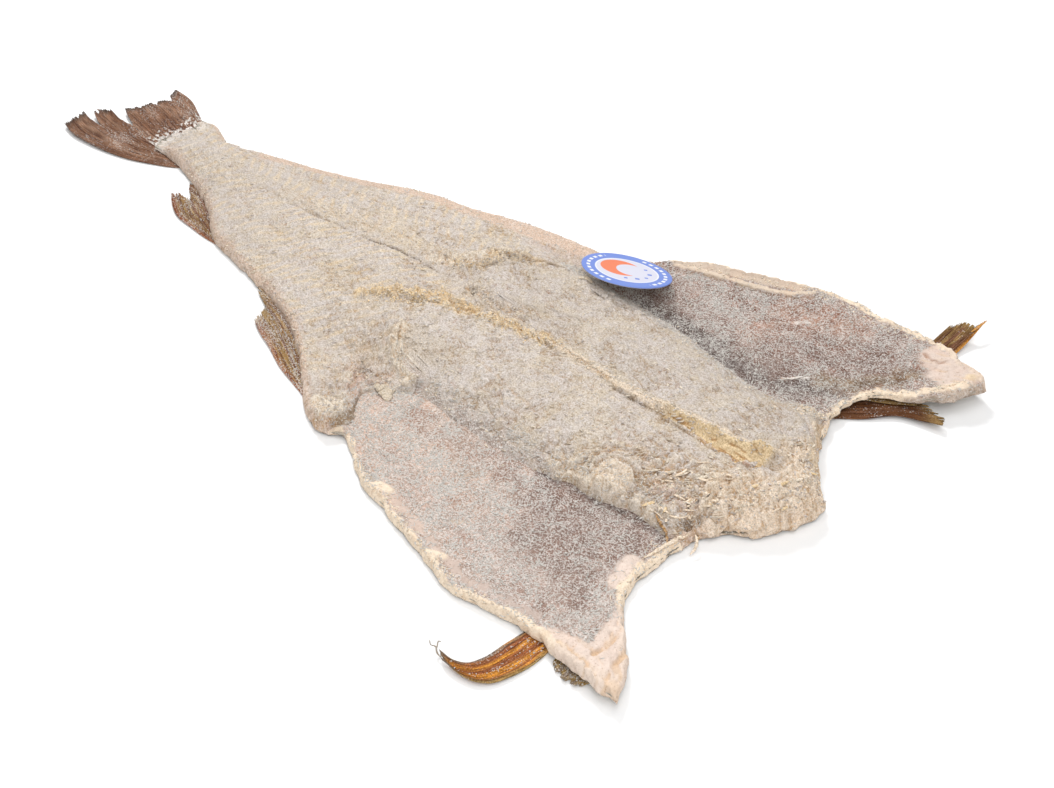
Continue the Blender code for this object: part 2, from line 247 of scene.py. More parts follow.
def path_distance(x: Grid, y: Grid, path: Sequence[Sequence[float]]) -> Grid:
    """Distance of every point from a line of straight stretches, or from a single point.

    Args:
        x: Plan x of the points.
        y: Plan y of the points.
        path: The line's corners.

    Returns:
        The shortest distance to any stretch.
    """
    if len(path) == 1:
        return np.hypot(x - path[0][0], y - path[0][1])
    best = np.full(np.shape(x), np.inf)
    for (ax, ay), (bx, by) in zip(path[:-1], path[1:]):
        dx, dy = bx - ax, by - ay
        t = np.clip(((x - ax) * dx + (y - ay) * dy) / (dx * dx + dy * dy), 0.0, 1.0)
        best = np.minimum(best, np.hypot(x - ax - t * dx, y - ay - t * dy))
    return best


def parameters(rows: int, columns: int) -> tuple[Grid, Grid]:
    """Two parameters that run from 0 to 1 along and across a grid of so many cells."""
    return tuple(np.meshgrid(np.linspace(0, 1, rows + 1), np.linspace(0, 1, columns + 1), indexing="ij"))


def mix(a: Grid, b: Grid, amount: Grid | float) -> Grid:
    """Blend of two colours by an amount from 0 to 1, which may change from point to point."""
    return a + (b - a) * np.clip(amount, 0.0, 1.0)[..., None]


class Noise:
    """Seeded gradient noise over the plan."""

    SIZE = 256
    DIRECTIONS = 5

    def __init__(self, seed: int) -> None:
        """Draws the table of slopes that every pattern reads."""
        angles = np.random.default_rng(seed).uniform(0.0, 2.0 * math.pi, (self.SIZE, self.SIZE))
        self.slope_x, self.slope_y = np.cos(angles), np.sin(angles)

    def waves(self, x: Grid, y: Grid, cell: float) -> Grid:
        """Smooth hills and hollows about one cell across.

        Each corner of a lattice adds its own slope times the way to it, faded by the quintic step
        6t^5 - 15t^4 + 10t^3 between corners.

        Args:
            x: Plan x, in millimetres.
            y: Plan y, in millimetres.
            cell: Lattice spacing, in millimetres.

        Returns:
            Values from about -1 to 1.
        """
        x, y = np.broadcast_arrays(x / cell, y / cell)
        i, j = np.floor(x).astype(np.int64), np.floor(y).astype(np.int64)
        fx, fy = x - i, y - j
        sx, sy = (f * f * f * (f * (f * 6.0 - 15.0) + 10.0) for f in (fx, fy))
        total = np.zeros(x.shape)
        for di, dj in ((0, 0), (0, 1), (1, 0), (1, 1)):
            a, b = (i + di) % self.SIZE, (j + dj) % self.SIZE
            slope = self.slope_x[a, b] * (fx - di) + self.slope_y[a, b] * (fy - dj)
            total += slope * (sx if di else 1 - sx) * (sy if dj else 1 - sy)
        return 1.6 * total

    def rough(self, x: Grid, y: Grid, cell: float, octaves: int = 4) -> Grid:
        """Sum of waves, each half as wide and 0.55 times as high as the one before."""
        total = np.zeros(np.broadcast(x, y).shape)
        for k in range(octaves):
            total += 0.55**k * self.waves(x + 31.7 * k, y - 17.3 * k, cell / 2**k)
        return total

    def fibres(self, x: Grid, y: Grid, angle: Grid, length: float, width: float) -> Grid:
        """Streaks that run along a direction that may change from place to place.

        Stretched waves in a few fixed directions are blended by how well each agrees with the angle.

        Args:
            x: Plan x.
            y: Plan y.
            angle: Direction of the streaks at every point, in radians from +X.
            length: Length of a streak.
            width: Width of a streak.

        Returns:
            Values from about -1 to 1.
        """
        total = np.zeros(np.broadcast(x, y).shape)
        weights = np.zeros(total.shape)
        for k in range(self.DIRECTIONS):
            turn = math.pi * k / self.DIRECTIONS
            weight = np.clip(np.cos(2.0 * (angle - turn)), 0.0, 1.0) ** 2
            ahead = x * math.cos(turn) + y * math.sin(turn) + 53.1 * k
            aside = y * math.cos(turn) - x * math.sin(turn)
            total += weight * self.waves(ahead / length, aside / width, 1.0)
            weights += weight**2
        return total / np.sqrt(weights + 1e-6)


NOISE = Noise(11)


def fractions(edge: Knots) -> list[tuple[float, float]]:
    """Turns (y, x) knots of a line across the body into (share of the width, x) knots."""
    knots = []
    for y, x in edge:
        near, far = (float(smooth(np.array([x]), side)[0]) for side in (NEAR_EDGE, FAR_EDGE))
        knots.append(((y - near) / (far - near), x))
    return knots


TAIL_SHARES, NECK_SHARES = fractions(TAIL_END), fractions(NECK_CUT)
CUT_SHARES, FOLD_SHARES = fractions(BACKBONE_CUT), fractions(STOCK_FOLD)


# ---------------------------------------------------------------- marks on the flesh


@dataclass(frozen=True)
class Mark:
    """A line or patch on a layer: where it runs, how far it stands out and how it is tinted.

    Its mask is 1 within reach of the path, and eases to 0 over the fade distance beyond. Wander is
    how far noise moves that border. Ripple repeats the line at that spacing; a negative one puts it
    half a step further.
    """

    what: str
    path: Sequence[tuple[float, float]]
    reach: float
    fade: float
    tint: Tone | None = None
    strength: float = 0.0
    rise: float = 0.0
    fray: float = 0.0
    wander: float = 0.0
    ripple: float = 0.0

    def mask(self, x: Grid, y: Grid) -> Grid:
        """How much of the mark lies at every point, from 0 to 1; thin marks are broken up."""
        distance = path_distance(x, y, self.path)
        if self.wander:
            distance = distance + self.wander * NOISE.rough(x + 91.0, y, 9.0, 3)
        mask = 1.0 - ease((distance - self.reach) / self.fade)
        if self.reach < 0.9:
            mask = mask * (0.3 + 0.7 * ease(0.7 + 2.4 * NOISE.rough(x + 17.0, y - 31.0, 7.0, 3)))
        if self.ripple:
            waves = 0.5 + 0.5 * np.cos(2 * math.pi * distance / self.ripple)
            mask = mask * (waves if self.ripple > 0 else 1 - waves) ** 1.5
        return mask


FLESH_MARKS = [
    # The backbone groove, its deep stretch, the short crack and the fainter line are tinted dark where they
    # sink: painted shade.
    Mark("backbone groove of the tail half", [(-150, -17), (-122, -17), (-97, -16), (-60, -13), (-34, -10),
         (-9, -6), (12, -5), (32, -6), (41, -4)], 0.2, 1.5, Tone.BROWN, 0.40, rise=-0.9, wander=0.7),
    Mark("deep stretch of that groove", [(-40, -11), (-34, -10), (-9, -6), (12, -5), (28, -6)], 0.3, 1.1,
         Tone.SHADOW, 0.75, rise=-1.3, wander=0.5),
    Mark("short crack behind it", [(-92, -15.5), (-75, -14)], 0.2, 1.0, Tone.BROWN, 0.6, rise=-0.7,
         wander=0.7),
    Mark("second, fainter line", [(-110, -6), (-86, -8), (-61, -3), (-42, 2), (-29, 1)], 0.3, 1.6,
         Tone.OCHRE, 0.22, rise=-0.5, wander=1.0),
    Mark("far muscle line of the tail half", [(-215, 4), (-150, 14), (-100, 28), (-40, 38), (10, 50)], 0.3,
         1.8, Tone.OCHRE, 0.30, rise=-0.7, wander=1.4),
    Mark("seam of the pink edge", [(-215, 10), (-180, 17), (-150, 26), (-120, 37), (-90, 50), (-50, 62),
         (0, 71), (50, 83), (90, 88)], 0.3, 1.6, Tone.OCHRE, 0.35, rise=-0.6, wander=1.2),
    Mark("crumbled band beside the groove", [(-130, -9), (-90, -6), (-60, -2), (-30, 4), (0, 8), (20, 14)],
         4.0, 5.0, Tone.CREAM, 0.5, rise=0.8, fray=0.5, wander=2.0),
    Mark("faint near seam", [(-220, -18), (-180, -28), (-130, -40), (-70, -48), (-10, -55)], 0.3, 1.8,
         Tone.OCHRE, 0.15, rise=-0.4, wander=1.6),
    Mark("shadow under the far step", [(46, 8), (52, 20), (54, 32), (62, 46)], 0.3, 1.8, Tone.BROWN, 0.35,
         rise=-0.8, wander=1.2),
    Mark("frayed backbone cut", [(4, -57), (14, -47), (22, -39), (33, -35), (42, -31), (50, -25), (71, -25),
         (90, -20), (117, -16), (144, -11)], 1.2, 5.5, Tone.YELLOW, 0.85, rise=1.2, fray=1.7, wander=3.5),
    Mark("bright strands in it", [(50, -25), (57, -26), (71, -27), (83, -23)], 0.6, 2.2, Tone.OCHRE, 0.45,
         rise=0.4, fray=0.8, wander=1.0),
    # The brown of these hollows is partly the flesh's colour and partly painted shade where they sink.
    Mark("brown hollow in it", [(22, -45), (34, -45), (44, -38)], 0.8, 4.0, Tone.BROWN, 0.42, rise=-0.7,
         fray=0.9, wander=1.6),
    Mark("second brown hollow", [(50, -33), (55, -31)], 0.8, 2.4, Tone.OCHRE, 0.5, rise=-0.6, wander=1.0),
    Mark("grey torn pits", [(62, -8), (70, -3), (76, -7), (90, -5), (106, -4)], 1.5, 7.0, Tone.GREY, 0.5,
         rise=-0.5, fray=1.6, wander=3.0),
    # Painted shade: the pits are tinted dark where they sink.
    Mark("pit", [(63, -5), (65, -10)], 0.6, 1.6, Tone.SHADOW, 0.55, rise=-1.1, wander=0.8),
    Mark("pit", [(75, -8), (79, -6)], 0.5, 1.5, Tone.SHADOW, 0.5, rise=-1.0, wander=0.8),
    Mark("pit", [(101, -4), (107, -4.5)], 0.5, 1.5, Tone.BROWN, 0.5, rise=-0.9, wander=0.8),
    Mark("pit on the far loin", [(81, 33), (85, 35)], 0.4, 1.4, Tone.SHADOW, 0.55, rise=-0.9, wander=0.7),
    Mark("lumps on the far step", [(14, 2), (26, 10), (34, 20), (38, 32), (52, 48)], 3.0, 6.0, Tone.PALE,
         0.7, rise=1.4, fray=1.5, wander=2.5),
    Mark("yellow edge of the far step", [(30, 8), (39, 13), (46, 20), (47, 30), (42, 35)], 1.0, 5.0,
         Tone.YELLOW, 0.60, fray=0.8, wander=2.0),
    Mark("yellow edge beyond it", [(50, 40), (59, 48), (66, 54)], 1.0, 6.0, Tone.YELLOW, 0.42, fray=0.6,
         wander=2.0),
    Mark("dull lens behind the arc", [(66, -62), (90, -66)], 7.0, 5.0, Tone.GREY, 0.75, rise=-0.7,
         wander=2.0),
    # Painted shade along one side of the lens's dip.
    Mark("dark side of the lens", [(84, -68), (90, -64), (95, -57)], 0.8, 3.0, Tone.BROWN, 0.35, rise=-0.4,
         fray=0.6, wander=1.5),
    # Painted shade in the crease.
    Mark("crease along the near loin", [(118, -55), (130, -57), (151, -61), (171, -64), (183, -65)], 0.3,
         1.3, Tone.OCHRE, 0.32, rise=-0.5, wander=1.0),
    Mark("rusty stain at the vent", [(54, -98), (64, -99), (74, -98)], 2.0, 9.0, Tone.BLUSH, 0.55, fray=0.8,
         wander=5.0),
    Mark("dark specks at the vent", [(58, -101), (70, -95)], 0.8, 5.5, Tone.BROWN, 0.42, rise=-0.3,
         fray=0.6, wander=4.5),
    Mark("grey hollow behind the vent", [(40, -88), (52, -92)], 3.0, 9.0, Tone.GREY, 0.5, rise=-0.5,
         fray=0.6, wander=4.0),
    # The dark rust in the slit is partly its colour and partly painted shade where it sinks.
    Mark("slit on the vent lobe", [(87, -150), (91, -146)], 0.4, 1.0, Tone.RUST, 0.85, rise=-0.8),
    Mark("shaded front of the vent lobe", [(80, -120), (86, -128), (90, -137), (89, -147)], 1.2, 2.0,
         Tone.BROWN, 0.8, rise=-2.2, wander=0.6),
    Mark("rusty hollow behind the vent", [(60, -104), (66, -112), (74, -118)], 2.0, 4.0, Tone.BLUSH, 0.7,
         rise=-1.2, fray=0.8, wander=3.0),
    Mark("cream crown of the vent lobe", [(70, -138), (79, -141)], 7.0, 4.0, Tone.PALE, 0.85, wander=1.5),
    Mark("pink side of the far edge", [(-190, 20), (-150, 36), (-110, 51), (-70, 68), (-20, 77), (20, 87),
         (60, 96), (96, 99)], 7.0, 4.0, Tone.PINK, 1.0, wander=1.6),
    Mark("cream lumps of the vent lobe", [(70, -128), (78, -145)], 9.0, 8.0, None, fray=0.9, wander=2.0),
    # Painted shade in the crease.
    Mark("crease inside the vent lobe", [(70, -120), (80, -126), (84, -134)], 0.3, 1.6, Tone.OCHRE, 0.5,
         rise=-1.2, wander=0.8),
    Mark("frayed flesh behind the near flap", [(40, -112), (60, -108), (76, -100)], 5.0, 10.0, None,
         fray=0.7, wander=3.0),
    Mark("pink hollow towards the tag", [(40, 76), (70, 80), (96, 86)], 2.0, 8.0, Tone.BLUSH, 0.35,
         wander=2.5),
    Mark("ridge of cream skin", [(112, -12), (139, -9), (183, -9), (218, -11), (255, -8), (286, -4),
         (299, 2)], 0.5, 2.6, Tone.CREAM, 0.9, wander=0.9),
    Mark("yellow stretch of the ridge", [(225, -12), (255, -9), (286, -5), (300, 1)], 1.0, 3.4, Tone.RIM,
         0.90, rise=0.5, fray=0.2, wander=1.2),
    # The pale tint of the ridge's near wall is partly the flesh's cream and partly painted light on a wall
    # that lies in shade.
    Mark("pale wall of the ridge", [(120, -13.5), (160, -13), (197, -16.5), (225, -18)], 1.2, 1.6, Tone.RIM,
         0.80, wander=0.8),
    # Painted shadow along the ridge's foot; the amber of the hollow is partly its own colour and partly
    # painted shade.
    Mark("brown foot of the ridge", [(197, -20), (220, -20), (233, -20), (254, -20.5), (271, -20),
         (284, -20)], 0.3, 1.5, Tone.BROWN, 0.80, rise=-0.6, wander=0.5),
    Mark("amber hollow of the ridge", [(254, -19), (271, -18), (290, -16.5)], 0.8, 2.0, Tone.OCHRE, 0.7,
         rise=-0.5, wander=1.6),
    Mark("rusty end of the hollow", [(284, -18), (294, -17)], 0.6, 2.2, Tone.RUST, 0.55, wander=1.0),
    # Painted shadow along the foot of the ridge.
    Mark("thin stretch of the ridge's foot", [(154, -13), (177, -15), (197, -18)], 0.2, 1.0, Tone.OCHRE,
         0.55, rise=-0.3, wander=0.5),
    Mark("crown of the pale bump", [(238, -74), (248, -71)], 6.0, 2.0, Tone.RIM, 0.75, rise=1.3,
         wander=0.6),
    # Painted shade in the crease.
    Mark("crease round it", [(230, -77), (231, -68), (238, -63.5), (249, -62), (257, -67), (257, -75)], 0.3,
         1.3, Tone.OCHRE, 0.75, rise=-1.4, wander=0.5),
    # Painted highlight on the ripples' crests and painted shade in their troughs.
    Mark("ripples round the bump", [(228, -74), (230, -66), (243, -60), (256, -62), (268, -64)], 8.0, 12.0,
         Tone.PALE, 0.40, rise=0.6, wander=3.2, ripple=5.0),
    Mark("shaded side of the ripples", [(228, -74), (230, -66), (243, -60), (256, -62), (268, -64)], 8.0,
         12.0, Tone.OCHRE, 0.25, rise=-0.5, wander=3.2, ripple=-5.0),
    # Painted shade in the wrinkles.
    Mark("wrinkle round the bump", [(221, -80), (222, -70), (233, -59), (247, -54), (257, -55)], 0.3, 1.4,
         Tone.OCHRE, 0.75, rise=-1.3, wander=0.8),
    Mark("outer wrinkle", [(226, -62), (236, -52), (252, -48)], 0.3, 1.4, Tone.OCHRE, 0.6, rise=-1.1,
         wander=0.8),
    Mark("wrinkle towards the neck", [(253, -64), (257, -58), (267, -49), (279, -42)], 0.3, 1.5, Tone.OCHRE,
         0.75, rise=-1.4, wander=0.9),
    Mark("next wrinkle", [(258, -68), (264, -60), (276, -50), (288, -45)], 0.3, 1.5, Tone.OCHRE, 0.7,
         rise=-1.3, wander=0.9),
    Mark("brown specks beyond the bump", [(238, -55), (249, -50)], 0.8, 3.0, Tone.BROWN, 0.45, fray=0.6,
         wander=2.5),
    Mark("rusty stretch at the neck", [(268, -62), (290, -60)], 1.5, 6.0, Tone.BLUSH, 0.60, fray=0.9,
         wander=3.0),
    # The dark rust in the cracks is partly their colour and partly painted shade where they sink.
    Mark("rusty cracks at the neck", [(271, -67), (283, -62), (292, -58)], 0.5, 2.0, Tone.RUST, 0.50,
         rise=-0.6, wander=1.6),
    Mark("cream streak at the neck", [(291, -50), (289, -36)], 1.0, 2.0, Tone.PALE, 0.7, rise=0.8,
         wander=0.6),
    Mark("dark cleft at the neck", [(293, -72), (299, -58), (308, -61)], 0.8, 2.4, Tone.SHADOW, 0.70,
         rise=-1.8, fray=1.2, wander=1.2),
    Mark("lumpy neck end", [(306, -45), (322, -30), (334, -10), (320, 12)], 12.0, 14.0, Tone.RIM, 0.65,
         fray=1.4, wander=3.0),
    Mark("frayed near loin by the neck", [(262, -50), (290, -40), (296, -62)], 6.0, 16.0, None, fray=1.1,
         wander=3.0),
    Mark("cream arc", [(54, -62), (58, -70), (64, -75), (74, -80), (88, -87)], 3.2, 3.0, Tone.PALE, 0.85,
         rise=2.0, fray=0.9, wander=1.8),
    # Painted highlight on the ridge's crest.
    Mark("bright crest of the ridge", [(248, -12.7), (262, -11.5), (271, -10.5), (286, -8.5), (298, -3)],
         0.9, 1.2, Tone.PALE, 0.9, rise=0.6, wander=0.7),
    Mark("shadow past the ridge's end", [(288, -19.5), (297, -18), (302, -10)], 0.6, 2.0, Tone.BROWN, 0.6,
         rise=-1.2, wander=0.8),
    Mark("ragged edge of the near loin", [(206, -84), (222, -83), (240, -82), (256, -78), (272, -75)], 2.5,
         5.0, Tone.PALE, 0.5, rise=0.8, fray=1.0, wander=2.5),
    Mark("yellow far edge by the neck", [(286, 52), (296, 66), (304, 40), (316, 18)], 1.5, 7.0, Tone.YELLOW,
         0.40, fray=0.8, wander=2.0),
]

NEAR_FLAP_MARKS = [
    Mark("rusty start", [(100, -112), (104, -138)], 5.0, 16.0, Tone.BLUSH, 0.40, wander=5.0),
    Mark("grey stretch by the fillet", [(120, -106), (190, -100)], 3.0, 14.0, Tone.SLATE, 0.45, wander=5.0),
    # On the near flap the charcoal band is painted shadow in the crevice at the foot of the near loin's lip.
    Mark("charcoal by the fillet", [(206, -88), (218, -88), (237, -87), (256, -83), (270, -80), (288, -82)],
         2.0, 5.0, Tone.CHARCOAL, 0.95, wander=1.5),
    Mark("dark field", [(222, -102), (250, -100), (278, -95)], 7.0, 20.0, Tone.SLATE, 0.90, wander=6.0),
    Mark("dark patch", [(236, -132), (266, -126), (276, -148)], 7.0, 17.0, Tone.SLATE, 0.80, wander=6.0),
    Mark("brown spot", [(173, -121), (177, -115)], 1.0, 5.0, Tone.BROWN, 0.40, wander=2.5),
    Mark("pink side of the rim", [(150, -160), (200, -173), (235, -177), (280, -172)], 0.9, 3.0, Tone.TIP,
         0.35, wander=3.0),
    Mark("dull stretch inside the rim", [(130, -140), (160, -150), (200, -152), (270, -152)], 4.0, 12.0,
         Tone.MAUVE, 0.6, wander=4.0),
    Mark("folded cream patch", [(289, -108), (293, -124)], 3.5, 4.5, Tone.TIP, 0.95, rise=0.9, fray=0.5,
         wander=1.5),
    Mark("pink tip", [(328, -150), (331, -164), (336, -178), (344, -190)], 18.0, 3.0, Tone.TIP, 1.0,
         rise=0.5, wander=1.2),
    Mark("pink tip towards the rim", [(322, -178), (306, -179), (292, -184)], 10.0, 3.0, Tone.TIP, 1.0,
         wander=1.2),
    Mark("pink edge above the tip", [(306, -134), (314, -148)], 2.0, 4.0, Tone.TIP, 0.9, wander=1.0),
    # Painted shade in the folds of the tip.
    Mark("fold in the tip", [(316, -146), (320, -160), (318, -172)], 0.3, 1.4, Tone.RIM_SHADE, 0.9,
         rise=-1.3, wander=0.9),
    Mark("second fold", [(328, -156), (331, -172), (336, -182)], 0.3, 1.4, Tone.RIM_SHADE, 0.9, rise=-1.2,
         wander=0.9),
    Mark("third fold", [(300, -176), (312, -178), (326, -180)], 0.3, 1.4, Tone.RIM_SHADE, 0.8, rise=-1.0,
         wander=1.2),
    Mark("fourth fold", [(304, -168), (316, -170), (328, -175)], 0.3, 1.2, Tone.RIM_SHADE, 0.6, rise=-0.8,
         wander=1.2),
    Mark("amber tip", [(342, -182)], 2.0, 5.0, Tone.RIM_SHADE, 0.6, wander=1.5),
    Mark("inward lobe of the rim", [(146, -162), (154, -161)], 2.0, 3.0, Tone.RIM, 0.95, rise=1.0,
         wander=1.0),
    Mark("inward lobe of the rim", [(206, -178), (213, -175)], 1.2, 2.6, Tone.RIM, 0.95, rise=0.8,
         wander=1.0),
    Mark("salt streak", [(196, -152), (204, -146)], 0.5, 2.0, Tone.CREAM, 0.6, wander=1.2),
]

FAR_FLAP_MARKS = [
    Mark("pale start by the tag", [(120, 118), (150, 125)], 6.0, 18.0, Tone.MAUVE, 0.35, wander=5.0),
    Mark("rosy field", [(216, 108), (222, 140), (250, 150)], 7.0, 20.0, Tone.ROSE, 0.60, wander=7.0),
    Mark("charcoal by the fillet", [(140, 80), (193, 74), (222, 70), (250, 74), (278, 88)], 4.0, 17.0,
         Tone.CHARCOAL, 0.80, wander=4.0),
    Mark("dark field", [(236, 96), (256, 118), (282, 128)], 9.0, 24.0, Tone.SLATE, 0.90, wander=6.0),
    Mark("shade under the tag", [(124, 100), (150, 98)], 8.0, 16.0, Tone.SLATE, 0.55, wander=4.0),
    Mark("brown front", [(272, 92), (290, 100), (303, 117), (307, 128)], 2.0, 12.0, Tone.BROWN, 0.80,
         wander=3.5),
    Mark("bare dark front", [(290, 101), (302, 116)], 1.0, 6.0, Tone.SHADOW, 0.55, wander=2.0),
    Mark("crease by the rim", [(126, 126), (150, 134), (168, 138), (185, 144), (204, 153), (213, 164)], 0.9,
         1.6, Tone.RIM, 0.70, rise=0.8, wander=1.3),
    Mark("shaded foot of the crease", [(128, 122), (151, 131), (169, 135), (187, 141), (206, 150),
         (216, 161)], 0.2, 1.8, Tone.BROWN, 0.50, rise=-0.6, wander=0.6),
    Mark("tan strip beyond the crease", [(124, 131), (152, 141), (182, 152), (202, 162)], 3.5, 3.0,
         Tone.RIM, 0.50, wander=0.8),
    Mark("white scrap mark", [(215, 124), (229, 138)], 0.4, 1.6, Tone.SALT, 0.75, rise=0.4, wander=1.0),
    Mark("white scrap mark", [(251, 79), (262, 89)], 0.6, 2.0, Tone.SALT, 0.9, rise=0.5, wander=1.2),
    Mark("pink tip", [(312, 156), (330, 138), (338, 152)], 8.0, 7.0, Tone.TIP, 0.85, rise=0.6, wander=2.5),
    # The rust in the folds is partly their colour and partly painted shade where they sink.
    Mark("rusty folds", [(304, 153), (310, 149), (317, 149), (320, 152)], 0.4, 1.6, Tone.RUST, 0.6,
         rise=-1.0, wander=0.6),
    Mark("cream front lip", [(299, 94), (304, 103), (314, 107), (322, 113), (331, 124), (341, 136)], 1.6,
         2.4, Tone.RIM, 0.95, rise=0.7, fray=1.0, wander=1.7),
    Mark("amber knob", [(341, 146)], 2.0, 4.0, Tone.YELLOW, 0.6, rise=1.0, fray=0.5, wander=1.0),
]


# ---------------------------------------------------------------- heights of the layers


def lift(x: Grid, y: Grid, edge: Grid) -> Grid:
    """How far the sheet as a whole stands off the floor, more at its rims and where it curls."""
    far = ease(0.5 + (y - smooth(x, BACKBONE)) / 40.0)
    rim = RIM_LIFT_NEAR + (RIM_LIFT_FAR - RIM_LIFT_NEAR) * far
    return rim * (1 - ease(edge / RIM_REACH)) + swells(x, y, CURLS)


def underside(x: Grid, y: Grid, edge: Grid) -> Grid:
    """The skin side: it droops at the rims, follows the curls and has a shallow channel down the back."""
    middle = smooth(x, BACKBONE)
    channel = SPINE_CHANNEL * (1 - ease((np.abs(y - middle) / SPINE_CHANNEL_HALF_WIDTH) ** 2))
    rim = UNDER_RIM_LIFT * (1 - ease(edge / UNDER_RIM_REACH))
    raised = 0.85 * swells(x, y, CURLS) + swells(x, y, LIFTED_FRONT)
    return 0.15 + rim + raised + channel * ease(edge / 12.0)


def fillet(x: Grid, y: Grid, sheet: float) -> Grid:
    """Thickness of a fillet, domed from the sheet's thickness at its outer line to the backbone line."""
    middle = smooth(x, BACKBONE)
    line = np.where(y < middle, smooth(x, NEAR_FILLET_LINE), smooth(x, FAR_FILLET_LINE))
    share = np.clip((y - line) / (middle - line), 0.0, 1.0)
    dome = 1 - (1 - share) ** (1.7 + 1.9 * ease((x + 50.0) / 150.0))
    return sheet + (smooth(x, FILLET_HEIGHT) - sheet) * dome + swells(x, y, TOP_SWELLS)


def fibre_angle(x: Grid, y: Grid) -> Grid:
    """Direction of the flesh's fibres: swept back from the backbone line, across it near the neck."""
    side = np.clip((y - smooth(x, BACKBONE)) / 40.0, -1.0, 1.0)
    swept = 0.45 + 0.55 * ease((x + 40.0) / 260.0) + 0.35 * NOISE.waves(x, y, 60.0)
    return -side * swept + 0.25 * NOISE.waves(x + 70.0, y, 25.0)


# ---------------------------------------------------------------- meshes


def cells(index: Grid) -> Grid:
    """Four-sided faces between neighbouring entries of a grid of vertex numbers."""
    return np.stack([index[:-1, :-1], index[:-1, 1:], index[1:, 1:], index[1:, :-1]], axis=-1).reshape(-1, 4)


def slab_faces(rows: int, columns: int, step: int) -> list:
    """Faces of a closed sheet: a fine upper grid, a coarse lower grid, and a wall of many-sided faces.

    Args:
        rows: Points along the upper grid, one more than a multiple of step.
        columns: Points across it, one more than a multiple of step.
        step: How many cells of the upper grid one cell of the lower grid spans.

    Returns:
        Faces as lists of vertex numbers, upper grid first, outward when x runs along the rows.
    """
    upper = np.arange(rows * columns).reshape(rows, columns)
    low_shape = ((rows - 1) // step + 1, (columns - 1) // step + 1)
    lower = rows * columns + np.arange(low_shape[0] * low_shape[1]).reshape(low_shape)
    faces = cells(upper)[:, ::-1].tolist() + cells(lower).tolist()
    for high, low in (
        (upper[0], lower[0]), (upper[:, -1], lower[:, -1]),
        (upper[-1][::-1], lower[-1][::-1]), (upper[::-1, 0], lower[::-1, 0]),
    ):
        for k in range(len(low) - 1):
            faces.append([*high[k * step:(k + 1) * step + 1].tolist(), int(low[k + 1]), int(low[k])])
    return faces


def to_row(points: Grid) -> Grid:
    """Plan millimetres to row metres."""
    return (points - [*PLAN_CENTRE, 0.0]) * MM


def piece(name: str, points: Grid, faces: list, finish: bpy.types.Material, slot: str,
          replaces: str | None = None, tone: Grid | None = None, salt: Grid | None = None,
          crust: Grid | None = None) -> bpy.types.Object:
    """A smooth shaded piece of the part with its own finish and painted attributes.

    Args:
        name: The object's name.
        points: Vertices in plan millimetres.
        faces: Faces as vertex numbers.
        finish: Its material.
        slot: Not used.
        replaces: The CAD node it stands for, if any.
        tone: Colour at every vertex, and how grainy it is there if it has a fourth value.
        salt: Share of the surface under salt at every vertex.
        crust: How white that salt is at every vertex.

    Returns:
        The object, riding on the part.
    """
    mesh = bpy.data.meshes.new(name)
    mesh.from_pydata(to_row(points.reshape(-1, 3)).tolist(), [], faces)
    mesh.shade_smooth()
    count = len(mesh.vertices)
    if tone is not None:
        colours = np.ones((count, 4), np.float32)
        colours[:, :tone.shape[-1]] = np.clip(tone.reshape(-1, tone.shape[-1]), 0.0, 1.0)
        mesh.color_attributes.new("tone", "FLOAT_COLOR", "POINT").data.foreach_set("color", colours.ravel())
    for label, values in (("salt", salt), ("crust", crust)):
        if values is not None:
            flat = np.ascontiguousarray(np.broadcast_to(values, (count,)), np.float32)
            mesh.attributes.new(label, "FLOAT", "POINT").data.foreach_set("value", flat)
    mesh.materials.append(finish)
    mesh.update()
    item = bpy.data.objects.new(name, mesh)
    bpy.context.scene.collection.objects.link(item)
    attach(item, "root")
    if replaces:
        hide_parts(replaces)
    log.info("%s: %d faces", name, len(mesh.polygons))
    return item


# ---------------------------------------------------------------- finishes


